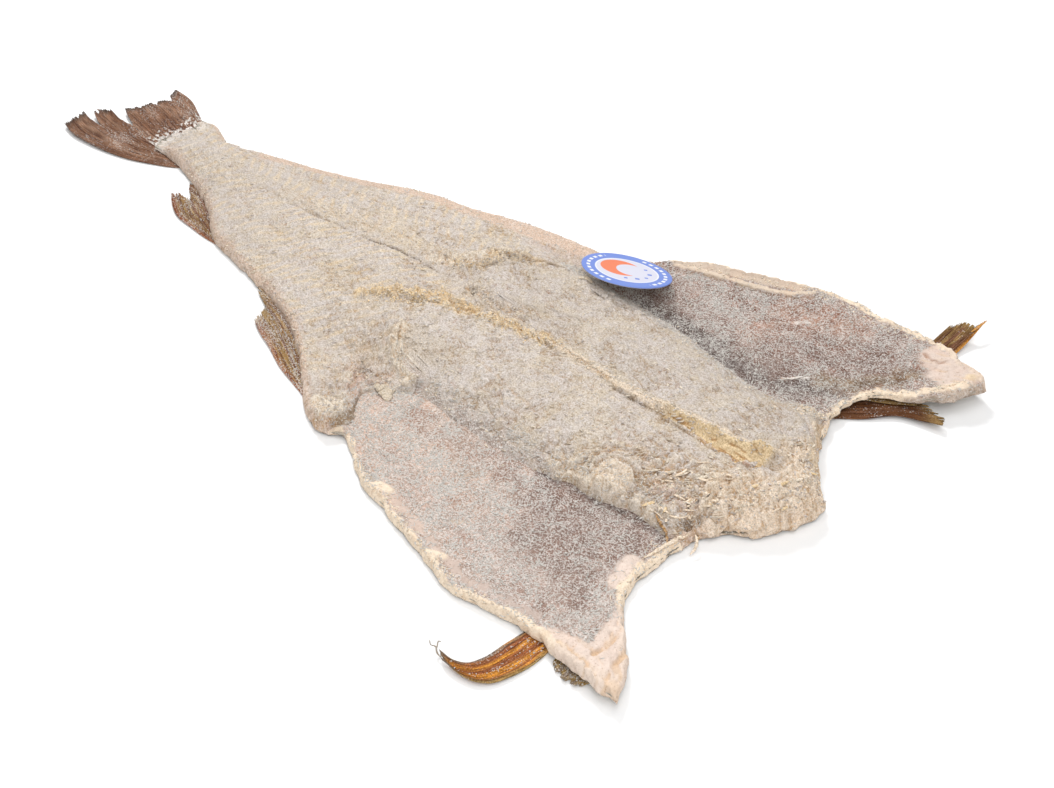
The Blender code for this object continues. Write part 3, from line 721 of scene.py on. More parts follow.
class Shader:
    """A material and short ways to add nodes to it."""

    def __init__(self, name: str, roughness: float, specular: float) -> None:
        """Starts a material with one Principled shader."""
        self.material = bpy.data.materials.new(name)
        self.material.use_nodes = True
        self.nodes = self.material.node_tree.nodes
        self.links = self.material.node_tree.links
        self.surface = self.nodes["Principled BSDF"]
        self.surface.inputs["Roughness"].default_value = roughness
        self.surface.inputs["Specular IOR Level"].default_value = specular
        self.surface.inputs["Metallic"].default_value = 0.0

    def add(self, kind: str, inputs: dict | None = None, **settings: object) -> bpy.types.Node:
        """Adds a node.

        Args:
            kind: The node's type.
            inputs: Socket name or number to a value or a socket to link.
            settings: The node's own settings.

        Returns:
            The new node.
        """
        node = self.nodes.new(kind)
        for key, value in settings.items():
            setattr(node, key, value)
        for key, value in (inputs or {}).items():
            if isinstance(value, bpy.types.NodeSocket):
                self.links.new(value, node.inputs[key])
            else:
                node.inputs[key].default_value = value
        return node

    def attribute(self, name: str, output: str = "Fac") -> bpy.types.NodeSocket:
        """Reads one of the mesh's own attributes."""
        return self.add("ShaderNodeAttribute", attribute_name=name).outputs[output]

    def noise(self, size: float, detail: float = 2.0, stretch: Sequence[float] = (1, 1, 1),
              shift: float = 0.0) -> bpy.types.NodeSocket:
        """Noise over the piece's own coordinates.

        Args:
            size: Size of its features, in millimetres.
            detail: How many finer layers it has.
            stretch: How much longer than size it is along each axis.
            shift: Moves the pattern, in metres.

        Returns:
            The noise value, about 0.5 on average.
        """
        place = self.add("ShaderNodeTexCoord").outputs["Object"]
        scale = [1.0 / (size * MM * s) for s in stretch]
        mapped = self.add("ShaderNodeMapping", {"Vector": place, "Location": (shift,) * 3, "Scale": scale})
        pattern = self.add("ShaderNodeTexNoise", {"Vector": mapped.outputs[0], "Scale": 1.0, "Detail": detail,
                                                  "Roughness": 0.55})
        return pattern.outputs["Fac"]

    def math(self, operation: str, *values: object) -> bpy.types.NodeSocket:
        """One arithmetic step on sockets or numbers."""
        return self.add("ShaderNodeMath", dict(enumerate(values)), operation=operation).outputs[0]

    def step(self, value: bpy.types.NodeSocket, low: object, high: object, to_low: float = 0.0,
             to_high: float = 1.0) -> bpy.types.NodeSocket:
        """Smooth step of a value between two limits, mapped to another pair."""
        inputs = {"Value": value, "From Min": low, "From Max": high, "To Min": to_low, "To Max": to_high}
        return self.add("ShaderNodeMapRange", inputs, interpolation_type="SMOOTHSTEP").outputs["Result"]

    def blend(self, amount: object, a: object, b: object, mode: str = "MIX") -> bpy.types.NodeSocket:
        """Mixes two colours by an amount."""
        node = self.add("ShaderNodeMix", {0: amount, 6: a, 7: b}, data_type="RGBA", blend_type=mode)
        return node.outputs[2]

    def colour(self, value: bpy.types.NodeSocket) -> None:
        """Links the surface colour."""
        self.links.new(value, self.surface.inputs["Base Color"])

    def relief(self, height: bpy.types.NodeSocket, depth: float, strength: float = 1.0) -> None:
        """Links a bump of the given depth in millimetres."""
        bump = self.add("ShaderNodeBump", {"Height": height, "Distance": depth * MM, "Strength": strength})
        self.links.new(bump.outputs[0], self.surface.inputs["Normal"])


@dataclass(frozen=True)
class DriedFlesh:
    """Matt dry flesh or skin: painted tone, fine fibre and grain, and a crust of salt grains."""

    name: str
    grain: float = 0.24
    grain_size: float = 1.0
    salt_size: float = 1.1
    pits: float = 0.5
    threads: float = 0.25
    depth: float = 0.60
    roughness: float = 0.85
    specular: float = 0.25

    def make(self) -> bpy.types.Material:
        """Builds the material.

        The tone is multiplied by two sizes of noise. The fine one picks a darker copy where the bump that it
        also gives sinks and a lighter one where it rises: painted shade and painted highlight. Pits are
        darkened where the bump sinks, which is painted shade too. Salt lies where a third noise passes a
        threshold that falls as the salt attribute rises. The same noises give the bump.

        Returns:
            The material.
        """
        shader = Shader(self.name, self.roughness, self.specular)
        tone = shader.attribute("tone", "Color")
        fine = shader.noise(self.grain_size, 4.0)
        broad = shader.noise(3.5, 2.0, shift=0.3)
        g = self.grain
        # Painted shade and painted highlight: darker and lighter copies of the tone, picked by the fine noise
        # that also gives the bump.
        dark = shader.blend(1.0, tone, (1 - g, 1 - 1.2 * g, 1 - 1.5 * g, 1.0), "MULTIPLY")
        light = shader.blend(1.0, tone, (1 + 0.75 * g, 1 + 0.8 * g, 1 + 0.9 * g, 1.0), "MULTIPLY")
        varied = shader.blend(shader.step(fine, 0.33, 0.67), dark, light)
        varied = shader.blend(shader.attribute("tone", "Alpha"), tone, varied)
        varied = shader.blend(1.0, varied, shader.step(broad, 0.3, 0.7, 0.96, 1.04), "MULTIPLY")
        # Painted shade in the pits: the tone darkens where the bump sinks.
        pits = shader.step(shader.noise(1.1, 2.0, shift=0.5), 0.40, 0.30, 0.0, self.pits)
        varied = shader.blend(pits, varied, shader.blend(1.0, varied, (0.64, 0.52, 0.40, 1.0), "MULTIPLY"))
        cover = shader.attribute("salt")
        spots = shader.noise(self.salt_size, 2.0, shift=0.7)
        threshold = shader.math("MULTIPLY_ADD", cover, -0.34, 0.66)
        grains = shader.step(spots, threshold, shader.math("ADD", threshold, 0.06))
        threads = shader.math("ABSOLUTE", shader.math("SUBTRACT", shader.noise(2.2, 2.0, shift=0.9), 0.5))
        threads = shader.math("MULTIPLY", shader.step(threads, 0.060, 0.015), self.threads)
        white = shader.math("MULTIPLY", shader.math("MAXIMUM", grains, threads), shader.attribute("crust"))
        shader.colour(shader.blend(white, varied, (*Tone.SALT.value, 1.0)))
        height = shader.math("ADD", fine, shader.math("MULTIPLY", white, 0.5))
        shader.relief(shader.math("SUBTRACT", height, shader.math("MULTIPLY", pits, 0.4)), self.depth)
        return shader.material


@dataclass(frozen=True)
class SaltCrystal:
    """Clean white salt."""

    roughness: float = 0.45

    def make(self) -> bpy.types.Material:
        """Builds the material: white with a slight grey variation from grain to grain."""
        shader = Shader("salt crystal", self.roughness, 0.5)
        shader.colour(shader.blend(shader.noise(1.5, 1.0), (0.52, 0.49, 0.45, 1.0), (0.66, 0.63, 0.59, 1.0)))
        return shader.material


# ---------------------------------------------------------------- layers of the body


def spread(t: Grid, length: Grid, first: Grid, last: Grid) -> Grid:
    """Distances along a length, bunched round a rolled rim at either end.

    A rim of radius r is a quarter circle: the distance is r(1 - cos a) while the angle a goes from 0
    to 90 degrees over RIM_ARC times r of the parameter's length, so its points are even on the roll.

    Args:
        t: Parameter from 0 to 1.
        length: Whole length, in millimetres.
        first: Radius of the rim at t = 0.
        last: Radius of the rim at t = 1.

    Returns:
        Distance from the first end.
    """
    arc_first, arc_last = RIM_ARC * first, RIM_ARC * last
    total = length - first - last + arc_first + arc_last
    q = t * total
    from_first = first * (1 - np.cos(np.clip(q / np.maximum(arc_first, 1e-6), 0, 1) * math.pi / 2))
    from_last = last * (1 - np.cos(np.clip((total - q) / np.maximum(arc_last, 1e-6), 0, 1) * math.pi / 2))
    plain = q - arc_first + first
    return np.where(q < arc_first, from_first, np.where(q > total - arc_last, length - from_last, plain))


RIM_ARC = 2.3


@dataclass
class Place:
    """Where the points of a layer's grid lie in the plan, and how far they are from its sides."""

    x: Grid
    y: Grid
    edge: Grid
    from_start: Grid
    from_end: Grid
    from_low: Grid
    from_high: Grid


@dataclass
class Layer:
    """A layer of the body between two lines across the fish and two lines along it.

    Subclasses say where those lines run, how high the layer is and how it is painted. A side is
    rolled where it has a radius, and dives into its neighbour where the radius is 0.
    """

    name: str = "layer"
    rows: int = 240
    columns: int = 120
    step: int = 6
    roll_start: float = 0.0
    roll_end: float = 0.0
    roll_low: float = 0.0
    roll_high: float = 0.0
    ragged: float = 0.8
    tuck: float = 3.5
    overlap: float = 14.0
    marks: Sequence[Mark] = field(default_factory=list)

    SETTLING_ROUNDS = 16
    DAMPING = 0.6
    DIVE_REACH = 3.5

    def start(self, v: Grid) -> Grid:
        """x where the layer begins at a share v of the body's width: under the tail half's flesh."""
        return smooth(v, CUT_SHARES) - self.overlap

    def end(self, v: Grid) -> Grid:
        """x where it ends: the neck cut."""
        return smooth(v, NECK_SHARES)

    def low(self, x: Grid) -> Grid:
        """y of its side towards the near edge: the near outline."""
        return smooth(x, NEAR_EDGE)

    def high(self, x: Grid) -> Grid:
        """y of its side towards the far edge: the far outline."""
        return smooth(x, FAR_EDGE)

    def radius_low(self, x: Grid) -> Grid:
        """Radius of the roll on the low side, which may change along it."""
        return np.full(x.shape, self.roll_low)

    def radius_end(self, y: Grid) -> Grid:
        """Radius of the roll at the end, which may change across the fish."""
        return np.full(y.shape, self.roll_end)

    def place(self) -> Place:
        """Works out the plan of the grid.

        x is spread between the start and the end at the point's share of the width, y between the
        low and the high side at that x. The two depend on each other, so damped rounds settle them.

        Returns:
            The grid's places.
        """
        s, t = parameters(self.rows, self.columns)
        v, y = t, 0.0 * t
        for _ in range(self.SETTLING_ROUNDS):
            begin, finish = self.start(v), self.end(v)
            x = begin + spread(s, finish - begin, self.roll_start, self.radius_end(y))
            near, far = smooth(x, NEAR_EDGE), smooth(x, FAR_EDGE)
            low, high = self.low(x), self.high(x)
            y = low + spread(t, high - low, self.radius_low(x), self.roll_high)
            v = v + self.DAMPING * ((y - near) / (far - near) - v)
        lengthwise = np.minimum(smooth(v, NECK_SHARES) - x, x - smooth(v, TAIL_SHARES))
        edge = np.clip(np.minimum(np.minimum(y - near, far - y), lengthwise), 0.0, None)
        return Place(x, y, edge, x - begin, finish - x, y - low, high - y)

    def rolled(self, place: Place) -> Grid:
        """How far up each rolled side a point has come, from 0 at the rim to 1 past the roll."""
        lost = np.zeros(place.x.shape)
        for distance, radius in (
            (place.from_start, self.roll_start), (place.from_end, self.radius_end(place.y)),
            (place.from_low, self.radius_low(place.x)), (place.from_high, self.roll_high),
        ):
            short = np.clip(1 - distance / np.maximum(radius, 1e-6), 0.0, 1.0)
            lost += np.where(np.asarray(radius) > 0, short**2, 0.0)
        return np.sqrt(np.clip(1 - lost, 0.0, 1.0))

    def dive(self, place: Place) -> Grid:
        """How far the layer sinks at its plain sides, to slip into its neighbours."""
        sunk = np.zeros(place.x.shape)
        for distance, radius in (
            (place.from_start, self.roll_start), (place.from_end, self.roll_end),
            (place.from_low, self.roll_low), (place.from_high, self.roll_high),
        ):
            if radius == 0:
                sunk = np.maximum(sunk, 0.9 * (1 - ease(distance / self.DIVE_REACH)))
        slope = 0.16 * self.tuck * (1 - ease(place.from_start / self.tuck))
        return np.maximum(sunk, slope * (self.tuck > self.DIVE_REACH))

    def fray(self, place: Place) -> Grid:
        """Extra roughness from the marks."""
        return sum((mark.fray * mark.mask(place.x, place.y) for mark in self.marks if mark.fray), 0.0)

    def height(self, place: Place) -> tuple[Grid, Grid]:
        """Height of the surface before its sides are rolled, and its fine part."""
        raise NotImplementedError

    def foot(self, place: Place) -> Grid:
        """Height that the rolled rims come down to."""
        return underside(place.x, place.y, place.edge) + 0.5

    def paint(self, place: Place, fine: Grid) -> tuple[Grid, Grid, Grid]:
        """Tone, salt and crust of the surface."""
        raise NotImplementedError

    def mark_rise(self, place: Place) -> Grid:
        """Sum of what the marks raise or lower."""
        return sum((mark.rise * mark.mask(place.x, place.y) for mark in self.marks if mark.rise), 0.0)

    def tint(self, tone: Grid, place: Place) -> Grid:
        """Mixes the marks' tints into a tone, in order."""
        for mark in self.marks:
            if mark.tint:
                tone = mix(tone, mark.tint.rgb, mark.strength * mark.mask(place.x, place.y))
        return tone

    def covered(self, place: Place, tints: Sequence[Tone]) -> Grid:
        """Where marks of the given tints lie, from 0 to 1."""
        return np.max([mark.mask(place.x, place.y) for mark in self.marks if mark.tint in tints], axis=0)

    def wander(self, place: Place, z: Grid) -> tuple[Grid, Grid]:
        """Moves points near the fish's outline, so that it is as uneven as a cut and dried edge."""
        fade = self.ragged * (1 - ease(place.edge / 11.0))
        x, y = place.x, place.y
        along_x, along_y = x + 0.9 * z, y - 0.7 * z
        return (x + fade * NOISE.rough(along_x, along_y + 40.0, 9.0, 3),
                y + fade * NOISE.rough(along_x + 60.0, along_y, 9.0, 3))

    def surface(self) -> tuple[Grid, Grid, Grid, Grid, Grid]:
        """Works out the layer.

        The top is the foot plus what the layer stands over it, less its dive and times its roll. The
        hidden side lies 1 mm over the underside, or 0.4 mm under the top where that is lower.

        Returns:
            The fine grid's points, the coarse grid's points, and the fine grid's tone, salt and crust.
        """
        place = self.place()
        z, fine = self.height(place)
        foot = self.foot(place)
        z = foot + np.maximum(z - self.dive(place) - foot, 0.3) * self.rolled(place)
        tone, salt, crust = self.paint(place, fine)
        x, y = self.wander(place, z)
        hidden = np.minimum(underside(place.x, place.y, place.edge) + 1.0, z - 0.4)
        top = np.stack([x, y, z], axis=2)
        bottom = np.stack([x, y, hidden], axis=2)[::self.step, ::self.step]
        return top, bottom, tone, salt, crust

    def build(self, finish: bpy.types.Material) -> tuple[bpy.types.Object, Grid, Grid]:
        """Makes the layer's piece.

        Args:
            finish: Its material.

        Returns:
            The object, its fine grid and the salt on it.
        """
        top, bottom, tone, salt, crust = self.surface()
        faces = slab_faces(top.shape[0], top.shape[1], self.step)
        points = np.concatenate([top.reshape(-1, 3), bottom.reshape(-1, 3)])
        coarse = (slice(None, None, self.step), slice(None, None, self.step))
        painted = [np.concatenate([a.reshape(-1, *a.shape[2:]), a[coarse].reshape(-1, *a.shape[2:])])
                   for a in (tone, salt, crust)]
        item = piece(self.name, points, faces, finish, "flesh_and_skin", "body", *painted)
        for mark in self.marks:
            log.debug("%s: %s", self.name, mark.what)
        return item, top, salt


def flesh_relief(x: Grid, y: Grid, fray: Grid) -> tuple[Grid, Grid]:
    """Relief of bare flesh: rounded crumbs with sharp creases between them, fibres and grain.

    A crumb is the size of a noise without its sign, so it is round on top and the crease lies where
    the noise crosses zero.

    Args:
        x: Plan x.
        y: Plan y.
        fray: Extra roughness, 0 where the flesh is even.

    Returns:
        The height, and its fine part from about -1 to 1.
    """
    angle = fibre_angle(x, y)
    lumps = NOISE.rough(x, y, 16.0, 2)
    shift = 2.5 * NOISE.waves(x, y + 33.0, 12.0)
    crumbled = 0.25 + 0.75 * ease(0.35 + 1.5 * NOISE.rough(x, y + 90.0, 26.0, 2) + fray)
    crumbled = crumbled * (0.5 + 0.5 * ease((x + 80.0) / 120.0))
    large = np.abs(NOISE.rough(0.7 * x + shift, y + 7.0, 9.0, 2))
    small = np.abs(NOISE.rough(0.8 * x - 9.0, y + 3.0 + shift, 4.6, 2))
    creases = np.maximum(1 - ease(large / 0.20), 0.7 * (1 - ease(small / 0.20))) * crumbled
    neck = ease((x - 262.0) / 30.0)
    folds = np.abs(NOISE.rough(x + 2.0 * shift, y + 60.0, 17.0, 2))
    creases = np.maximum(creases, neck * (1 - ease(folds / 0.16)))
    long_fibres = NOISE.fibres(x, y, angle, 10.0, 2.4)
    short_fibres = NOISE.fibres(x + 13.0, y, angle + 0.3, 4.0, 1.25)
    grain = NOISE.waves(x, y + 9.0, 1.5)
    torn = np.abs(NOISE.rough(x + 5.0, y, 8.0, 3)) - 0.35
    fine = 0.45 * short_fibres + 0.35 * grain + 0.3 * long_fibres + 0.7 * crumbled * (large + small - 0.75)
    height = 0.55 * lumps + (0.24 + 0.35 * fray) * long_fibres + (0.18 + 0.2 * fray) * short_fibres
    height = height + crumbled * (2.1 * (large - 0.35) + (1.3 + 0.3 * fray) * (small - 0.35))
    height = height + 2.6 * neck * (folds - 0.35)
    return height + 0.12 * grain + 2.3 * fray * torn, fine - 0.9 * creases + 0.4 * fray * torn


def flesh_tone(x: Grid, y: Grid, edge: Grid, fine: Grid) -> Grid:
    """Tone of bare flesh: cream and lilac clouds, faint muscle bands, painted shade in the hollows between
    fibres.

    Args:
        x: Plan x.
        y: Plan y.
        edge: Distance from the outline.
        fine: Fine relief; painted shade darkens the tone where it is low, painted highlight lightens it where
            it is high.

    Returns:
        The colour at every point.
    """
    clouds = NOISE.rough(x, y, 34.0, 3)
    tone = mix(Tone.FLESH.rgb, Tone.LILAC.rgb, 0.6 * ease(0.10 + 1.6 * clouds))
    tone = mix(tone, Tone.CREAM.rgb, 0.55 * ease(0.05 - 1.6 * clouds))
    dull = ease(1.8 * NOISE.rough(x - 33.0, y, 13.0, 3) - 0.1)
    tone = mix(tone, tone * [0.88, 0.85, 0.80], 0.8 * dull)
    patches = NOISE.rough(x + 45.0, y + 12.0, 7.0, 3)
    tone = mix(tone, Tone.CREAM.rgb, 0.45 * ease(2.0 * patches))
    tone = mix(tone, Tone.LILAC.rgb * 1.03, 0.45 * ease(-2.0 * patches))
    side = np.abs(y - smooth(x, BACKBONE))
    bands = np.sin((x + 0.75 * side + 5.0 * NOISE.waves(x, y, 30.0)) * 2 * math.pi / 10.5)
    tail_half = 1 - ease((x - 20.0) / 60.0)
    rows = 0.35 + 0.65 * ease(0.5 + 0.9 * np.cos((side - 13.0) * 2 * math.pi / 25.0))
    tone = mix(tone, Tone.YELLOW.rgb, 0.42 * ease(1.3 * bands + 0.35 * patches - 0.2) * rows * tail_half)
    tone = mix(tone, Tone.PINK.rgb * 1.05, 0.75 * (1 - ease((edge - 3.0) / 3.0)))
    line = np.abs(edge - 6.5 + 1.5 * patches)
    tone = mix(tone, Tone.BLUSH.rgb, 0.35 * (1 - ease((line - 0.2) / 1.6)) * ease(0.6 + 1.5 * clouds))
    # Painted shade: darker and warmer where the fine relief is low.
    hollow = ease(-1.1 * fine - 0.12)
    tone = mix(tone, tone * [0.74, 0.64, 0.53], 0.95 * hollow)
    specks = ease(4.0 * NOISE.rough(x - 70.0, y, 5.0, 3) - 2.0)
    specks = specks * ease(0.2 + 1.5 * NOISE.waves(x, y - 60.0, 30.0))
    tone = mix(tone, Tone.RUST.rgb, 0.35 * specks)
    # Painted highlight: lighter where the fine relief is high.
    return mix(tone, np.minimum(tone * [1.15, 1.14, 1.12], 0.9), 0.9 * ease(1.2 * fine - 0.1))


@dataclass
class Flesh(Layer):
    """Bare flesh: the tail half and the loins."""

    sheet: float = BELLY_THICKNESS
    marks: Sequence[Mark] = field(default_factory=lambda: FLESH_MARKS)

    def raised(self, place: Place) -> Grid:
        """What this layer adds to the plain fillet."""
        return np.zeros(place.x.shape)

    def height(self, place: Place) -> tuple[Grid, Grid]:
        """Fillet, marks and relief on top of the lifted sheet."""
        x, y, edge = place.x, place.y, place.edge
        relief, fine = flesh_relief(x, y, self.fray(place))
        even = 1 - 0.75 * self.covered(place, (Tone.PINK,))
        body = lift(x, y, edge) + fillet(x, y, self.sheet)
        return body + self.raised(place) + self.mark_rise(place) + relief * even, fine * even

    def paint(self, place: Place, fine: Grid) -> tuple[Grid, Grid, Grid]:
        """Flesh tone with its marks, under thin salt."""
        tone = self.tint(flesh_tone(place.x, place.y, place.edge, fine), place)
        fray = np.clip(self.fray(place), 0.0, 1.0)
        torn = np.abs(NOISE.rough(place.x + 5.0, place.y, 8.0, 3)) - 0.35
        # Painted highlight on the torn lumps that the fray raises; the ochre in the torn creases is partly
        # the flesh's colour and partly painted shade.
        tone = mix(tone, np.minimum(tone * 1.16, 0.92), 0.8 * fray * ease(2.5 * torn + 0.3))
        tone = mix(tone, Tone.OCHRE.rgb, 0.7 * fray * ease(-5.0 * torn - 0.7))
        salt = 0.42 + 0.15 * NOISE.rough(place.x, place.y, 28.0, 2)
        return tone, salt, np.full(place.x.shape, 0.32)


@dataclass
class TailStock(Flesh):
    """The narrow stock between the tail fin and the fold line."""

    name: str = "tail_stock_flesh"
    rows: int = 234
    columns: int = 114
    roll_start: float = 5.0
    roll_low: float = 5.0
    roll_high: float = 6.0

    def start(self, v: Grid) -> Grid:
        """The tail end, ragged."""
        return smooth(v, TAIL_SHARES) + 3.6 * NOISE.rough(60.0 * v, 4.5, 8.0, 4)

    def rolled(self, place: Place) -> Grid:
        """Thins out over a long stretch towards the tail fin."""
        return super().rolled(place) * (0.10 + 0.90 * ease((place.from_start + 2.0) / 30.0) ** 0.7)

    def end(self, v: Grid) -> Grid:
        """The fold line."""
        return smooth(v, FOLD_SHARES)

    def foot(self, place: Place) -> Grid:
        """The rims come down to the skin, and to the fin's face at the tail end."""
        return super().foot(place) + 1.2 * (1 - ease(place.from_start / 9.0))

    def paint(self, place: Place, fine: Grid) -> tuple[Grid, Grid, Grid]:
        """Paler and saltier towards the tail fin."""
        tone, salt, crust = super().paint(place, fine)
        near_fin = 1 - ease((place.from_start - 2.0) / 22.0)
        return mix(0.94 * tone, Tone.SALT.rgb, 0.35 * near_fin), salt + 0.2 * near_fin, crust + 0.3 * near_fin


@dataclass
class TailHalf(Flesh):
    """The tail half's flesh, from the fold line to the frayed step where the backbone was cut out."""

    name: str = "tail_half_flesh"
    rows: int = 264
    columns: int = 336
    roll_end: float = 1.3
    roll_low: float = 5.0
    roll_high: float = 6.0

    def start(self, v: Grid) -> Grid:
        """Just behind the fold line."""
        return smooth(v, FOLD_SHARES) - 6.0

    def end(self, v: Grid) -> Grid:
        """The ragged step."""
        return smooth(v, CUT_SHARES) + 1.6 * NOISE.rough(300.0 * v, 0.5, 14.0, 4)

    def radius_end(self, y: Grid) -> Grid:
        """Crisp over the loins, round at the vent lobe."""
        return self.roll_end + 7.0 * ease((-y - 118.0) / 14.0)

    def step_height(self, place: Place) -> Grid:
        """How far the front edge stands over what lies before it."""
        return smooth(place.y, CUT_STEP)

    def raised(self, place: Place) -> Grid:
        """Rises to the step over the last stretch."""
        return self.step_height(place) * (1 - ease(place.from_end / 26.0))

    def foot(self, place: Place) -> Grid:
        """Rims come down to the skin at the outline, and to the layer beneath at the step."""
        skin = super().foot(place)
        beneath = lift(place.x, place.y, place.edge) + fillet(place.x, place.y, FLAP_THICKNESS) - 1.3
        return np.where(place.edge > 5.0, np.maximum(beneath, skin), skin)

    def dive(self, place: Place) -> Grid:
        """Where the step has no height, the front edge sinks away."""
        flush = 1 - ease(self.step_height(place) / 0.8)
        return np.maximum(super().dive(place), 1.6 * flush * (1 - ease(place.from_end / 5.0)))


@dataclass
class Loin(Flesh):
    """A loin, from under the tail half's flesh to the neck, thinning out over its flap."""

    rows: int = 420
    sheet: float = FLAP_THICKNESS
    roll_end: float = 7.0
    ragged: float = 2.4
    tuck: float = 13.0

    def flap_beneath(self, place: Place) -> Grid:
        """Just under the top of the flap that the loin lies on."""
        return lift(place.x, place.y, place.edge) + FLAP_THICKNESS - EMBEDDED

    def down_to(self, place: Place, beneath: Grid) -> Grid:
        """Rims come down to what lies beneath, or to the skin at the neck."""
        skin = super().foot(place)
        return np.where(place.from_end > 6.0, np.maximum(beneath, skin), skin)


@dataclass
class NearLoin(Loin):
    """The near loin, from its edge over the near flap to the foot of the ridge."""

    name: str = "near_loin"
    columns: int = 156
    roll_low: float = 2.2

    def low(self, x: Grid) -> Grid:
        """The near fillet line, uneven."""
        return smooth(x, NEAR_LOIN_SIDE) + 2.0 * NOISE.rough(x, 7.7, 14.0, 3)

    def high(self, x: Grid) -> Grid:
        """Under the ridge."""
        return smooth(x, RIDGE_CREST) + 4.0

    def raised(self, place: Place) -> Grid:
        """A lip over the flap, and a trench at the foot of the ridge."""
        lip = smooth(place.x, NEAR_LOIN_STEP) * (1 - ease(place.from_low / 14.0))
        away = np.clip(smooth(place.x, RIDGE_FOOT) - place.y, 0.0, None)
        return lip - smooth(place.x, RIDGE_TRENCH) * np.exp(-((away / 7.0) ** 2))

    def foot(self, place: Place) -> Grid:
        """Rims come down into the flap, or to the skin at the neck."""
        return self.down_to(place, self.flap_beneath(place))

    def dive(self, place: Place) -> Grid:
        """Where it has no lip, the near side thins out over the flap."""
        flush = 1 - ease(smooth(place.x, NEAR_LOIN_STEP) / 1.2)
        return np.maximum(super().dive(place), 1.4 * flush * (1 - ease(place.from_low / 5.0)))

    def paint(self, place: Place, fine: Grid) -> tuple[Grid, Grid, Grid]:
        """Mauve shows through where the flesh thins out over the flap."""
        tone, salt, crust = super().paint(place, fine)
        patchy = place.from_low + 7.0 * NOISE.rough(place.x, place.y + 33.0, 12.0, 4)
        thin = (1 - ease((patchy - 1.0) / 11.0)) * (1 - ease(smooth(place.x, NEAR_LOIN_STEP) / 1.4))
        return mix(tone, Tone.MAUVE.rgb, 0.75 * thin), salt + 0.08 * thin, crust + 0.5 * thin


@dataclass
class FarLoin(Loin):
    """The far loin: its near side is the raised ridge along the backbone line."""

    name: str = "far_loin"
    columns: int = 168
    roll_low: float = 1.5

    def low(self, x: Grid) -> Grid:
        """The foot of the ridge."""
        return smooth(x, RIDGE_FOOT) + 0.5 * NOISE.rough(x, 3.3, 7.0, 3)

    def high(self, x: Grid) -> Grid:
        """The far fillet line, uneven."""
        return smooth(x, FAR_LOIN_SIDE) + 2.0 * NOISE.rough(x, 55.5, 14.0, 3)

    def radius_low(self, x: Grid) -> Grid:
        """The ridge's near face reaches from its foot to its crest."""
        return np.maximum(smooth(x, RIDGE_CREST) - smooth(x, RIDGE_FOOT), 1.2)

    def raised(self, place: Place) -> Grid:
        """The ridge: highest at its crest, fading into the loin, higher towards its end by the neck."""
        beyond = np.clip(place.y - smooth(place.x, RIDGE_CREST), 0.0, None)
        uneven = 1 + 0.4 * NOISE.rough(place.x, place.y, 9.0, 3)
        crest = 0.35 * np.exp(-((beyond / 4.0) ** 2)) + 0.65 * np.exp(-beyond / 1.3)
        wall, streaks = self.wall(place)
        return smooth(place.x, RIDGE_HEIGHT) * uneven * crest - 1.2 * wall * ease(1.4 * streaks)

    def wall(self, place: Place) -> tuple[Grid, Grid]:
        """Where the ridge's open face lies, and the streaks along it."""
        x = place.x
        inside = 1 - ease((place.from_low - self.radius_low(x) + 0.5) / 1.5)
        streaks = NOISE.fibres(x, place.y, np.full(x.shape, 0.12), 17.0, 1.4)
        return ease((x - 222.0) / 22.0) * (1 - ease((x - 299.0) / 4.0)) * inside, streaks

    def rolled(self, place: Place) -> Grid:
        """The ridge's near face is convex at first and hollow towards the neck."""
        round_side = super().rolled(place)
        share = np.clip(place.from_low / self.radius_low(place.x), 0.0, 1.0)
        hollow = ease((place.x - 215.0) / 30.0) * (1 - ease((place.x - 298.0) / 10.0))
        return round_side * (1 - hollow) + np.minimum(round_side, 0.25 * share + 0.75 * share**1.7) * hollow

    def foot(self, place: Place) -> Grid:
        """The ridge comes down into the near loin, the outer side into the flap, the end to the skin."""
        x, y = place.x, place.y
        loin = lift(x, y, place.edge) + fillet(x, y, FLAP_THICKNESS) - smooth(x, RIDGE_TRENCH) - EMBEDDED
        return self.down_to(place, np.where(place.from_low < 20.0, loin, self.flap_beneath(place)))

    def dive(self, place: Place) -> Grid:
        """The outer side thins out over the flap."""
        return np.maximum(super().dive(place), 1.4 * (1 - ease(place.from_high / 5.0)))

    def paint(self, place: Place, fine: Grid) -> tuple[Grid, Grid, Grid]:
        """Grey shows through where the flesh thins out over the flap."""
        tone, salt, crust = super().paint(place, fine)
        patchy = place.from_high + 7.0 * NOISE.rough(place.x + 80.0, place.y, 12.0, 4)
        thin = 1 - ease((patchy - 1.0) / 12.0)
        wall, streaks = self.wall(place)
        share = place.from_low / self.radius_low(place.x)
        tone = mix(tone, Tone.YELLOW.rgb, 0.9 * wall)
        # Ochre on the ridge's open face: partly its own streaks, partly painted shade in their grooves and
        # towards its foot.
        tone = mix(tone, Tone.OCHRE.rgb, 0.9 * wall * ease(2.6 * streaks + 1.0 - 2.2 * share))
        crust = crust * (1 - 0.8 * wall) + 0.5 * thin
        return mix(0.95 * tone, Tone.SLATE.rgb, 0.7 * thin), salt + 0.08 * thin, crust


PALE_TINTS = (Tone.TIP, Tone.CREAM, Tone.RIM, Tone.GREY)


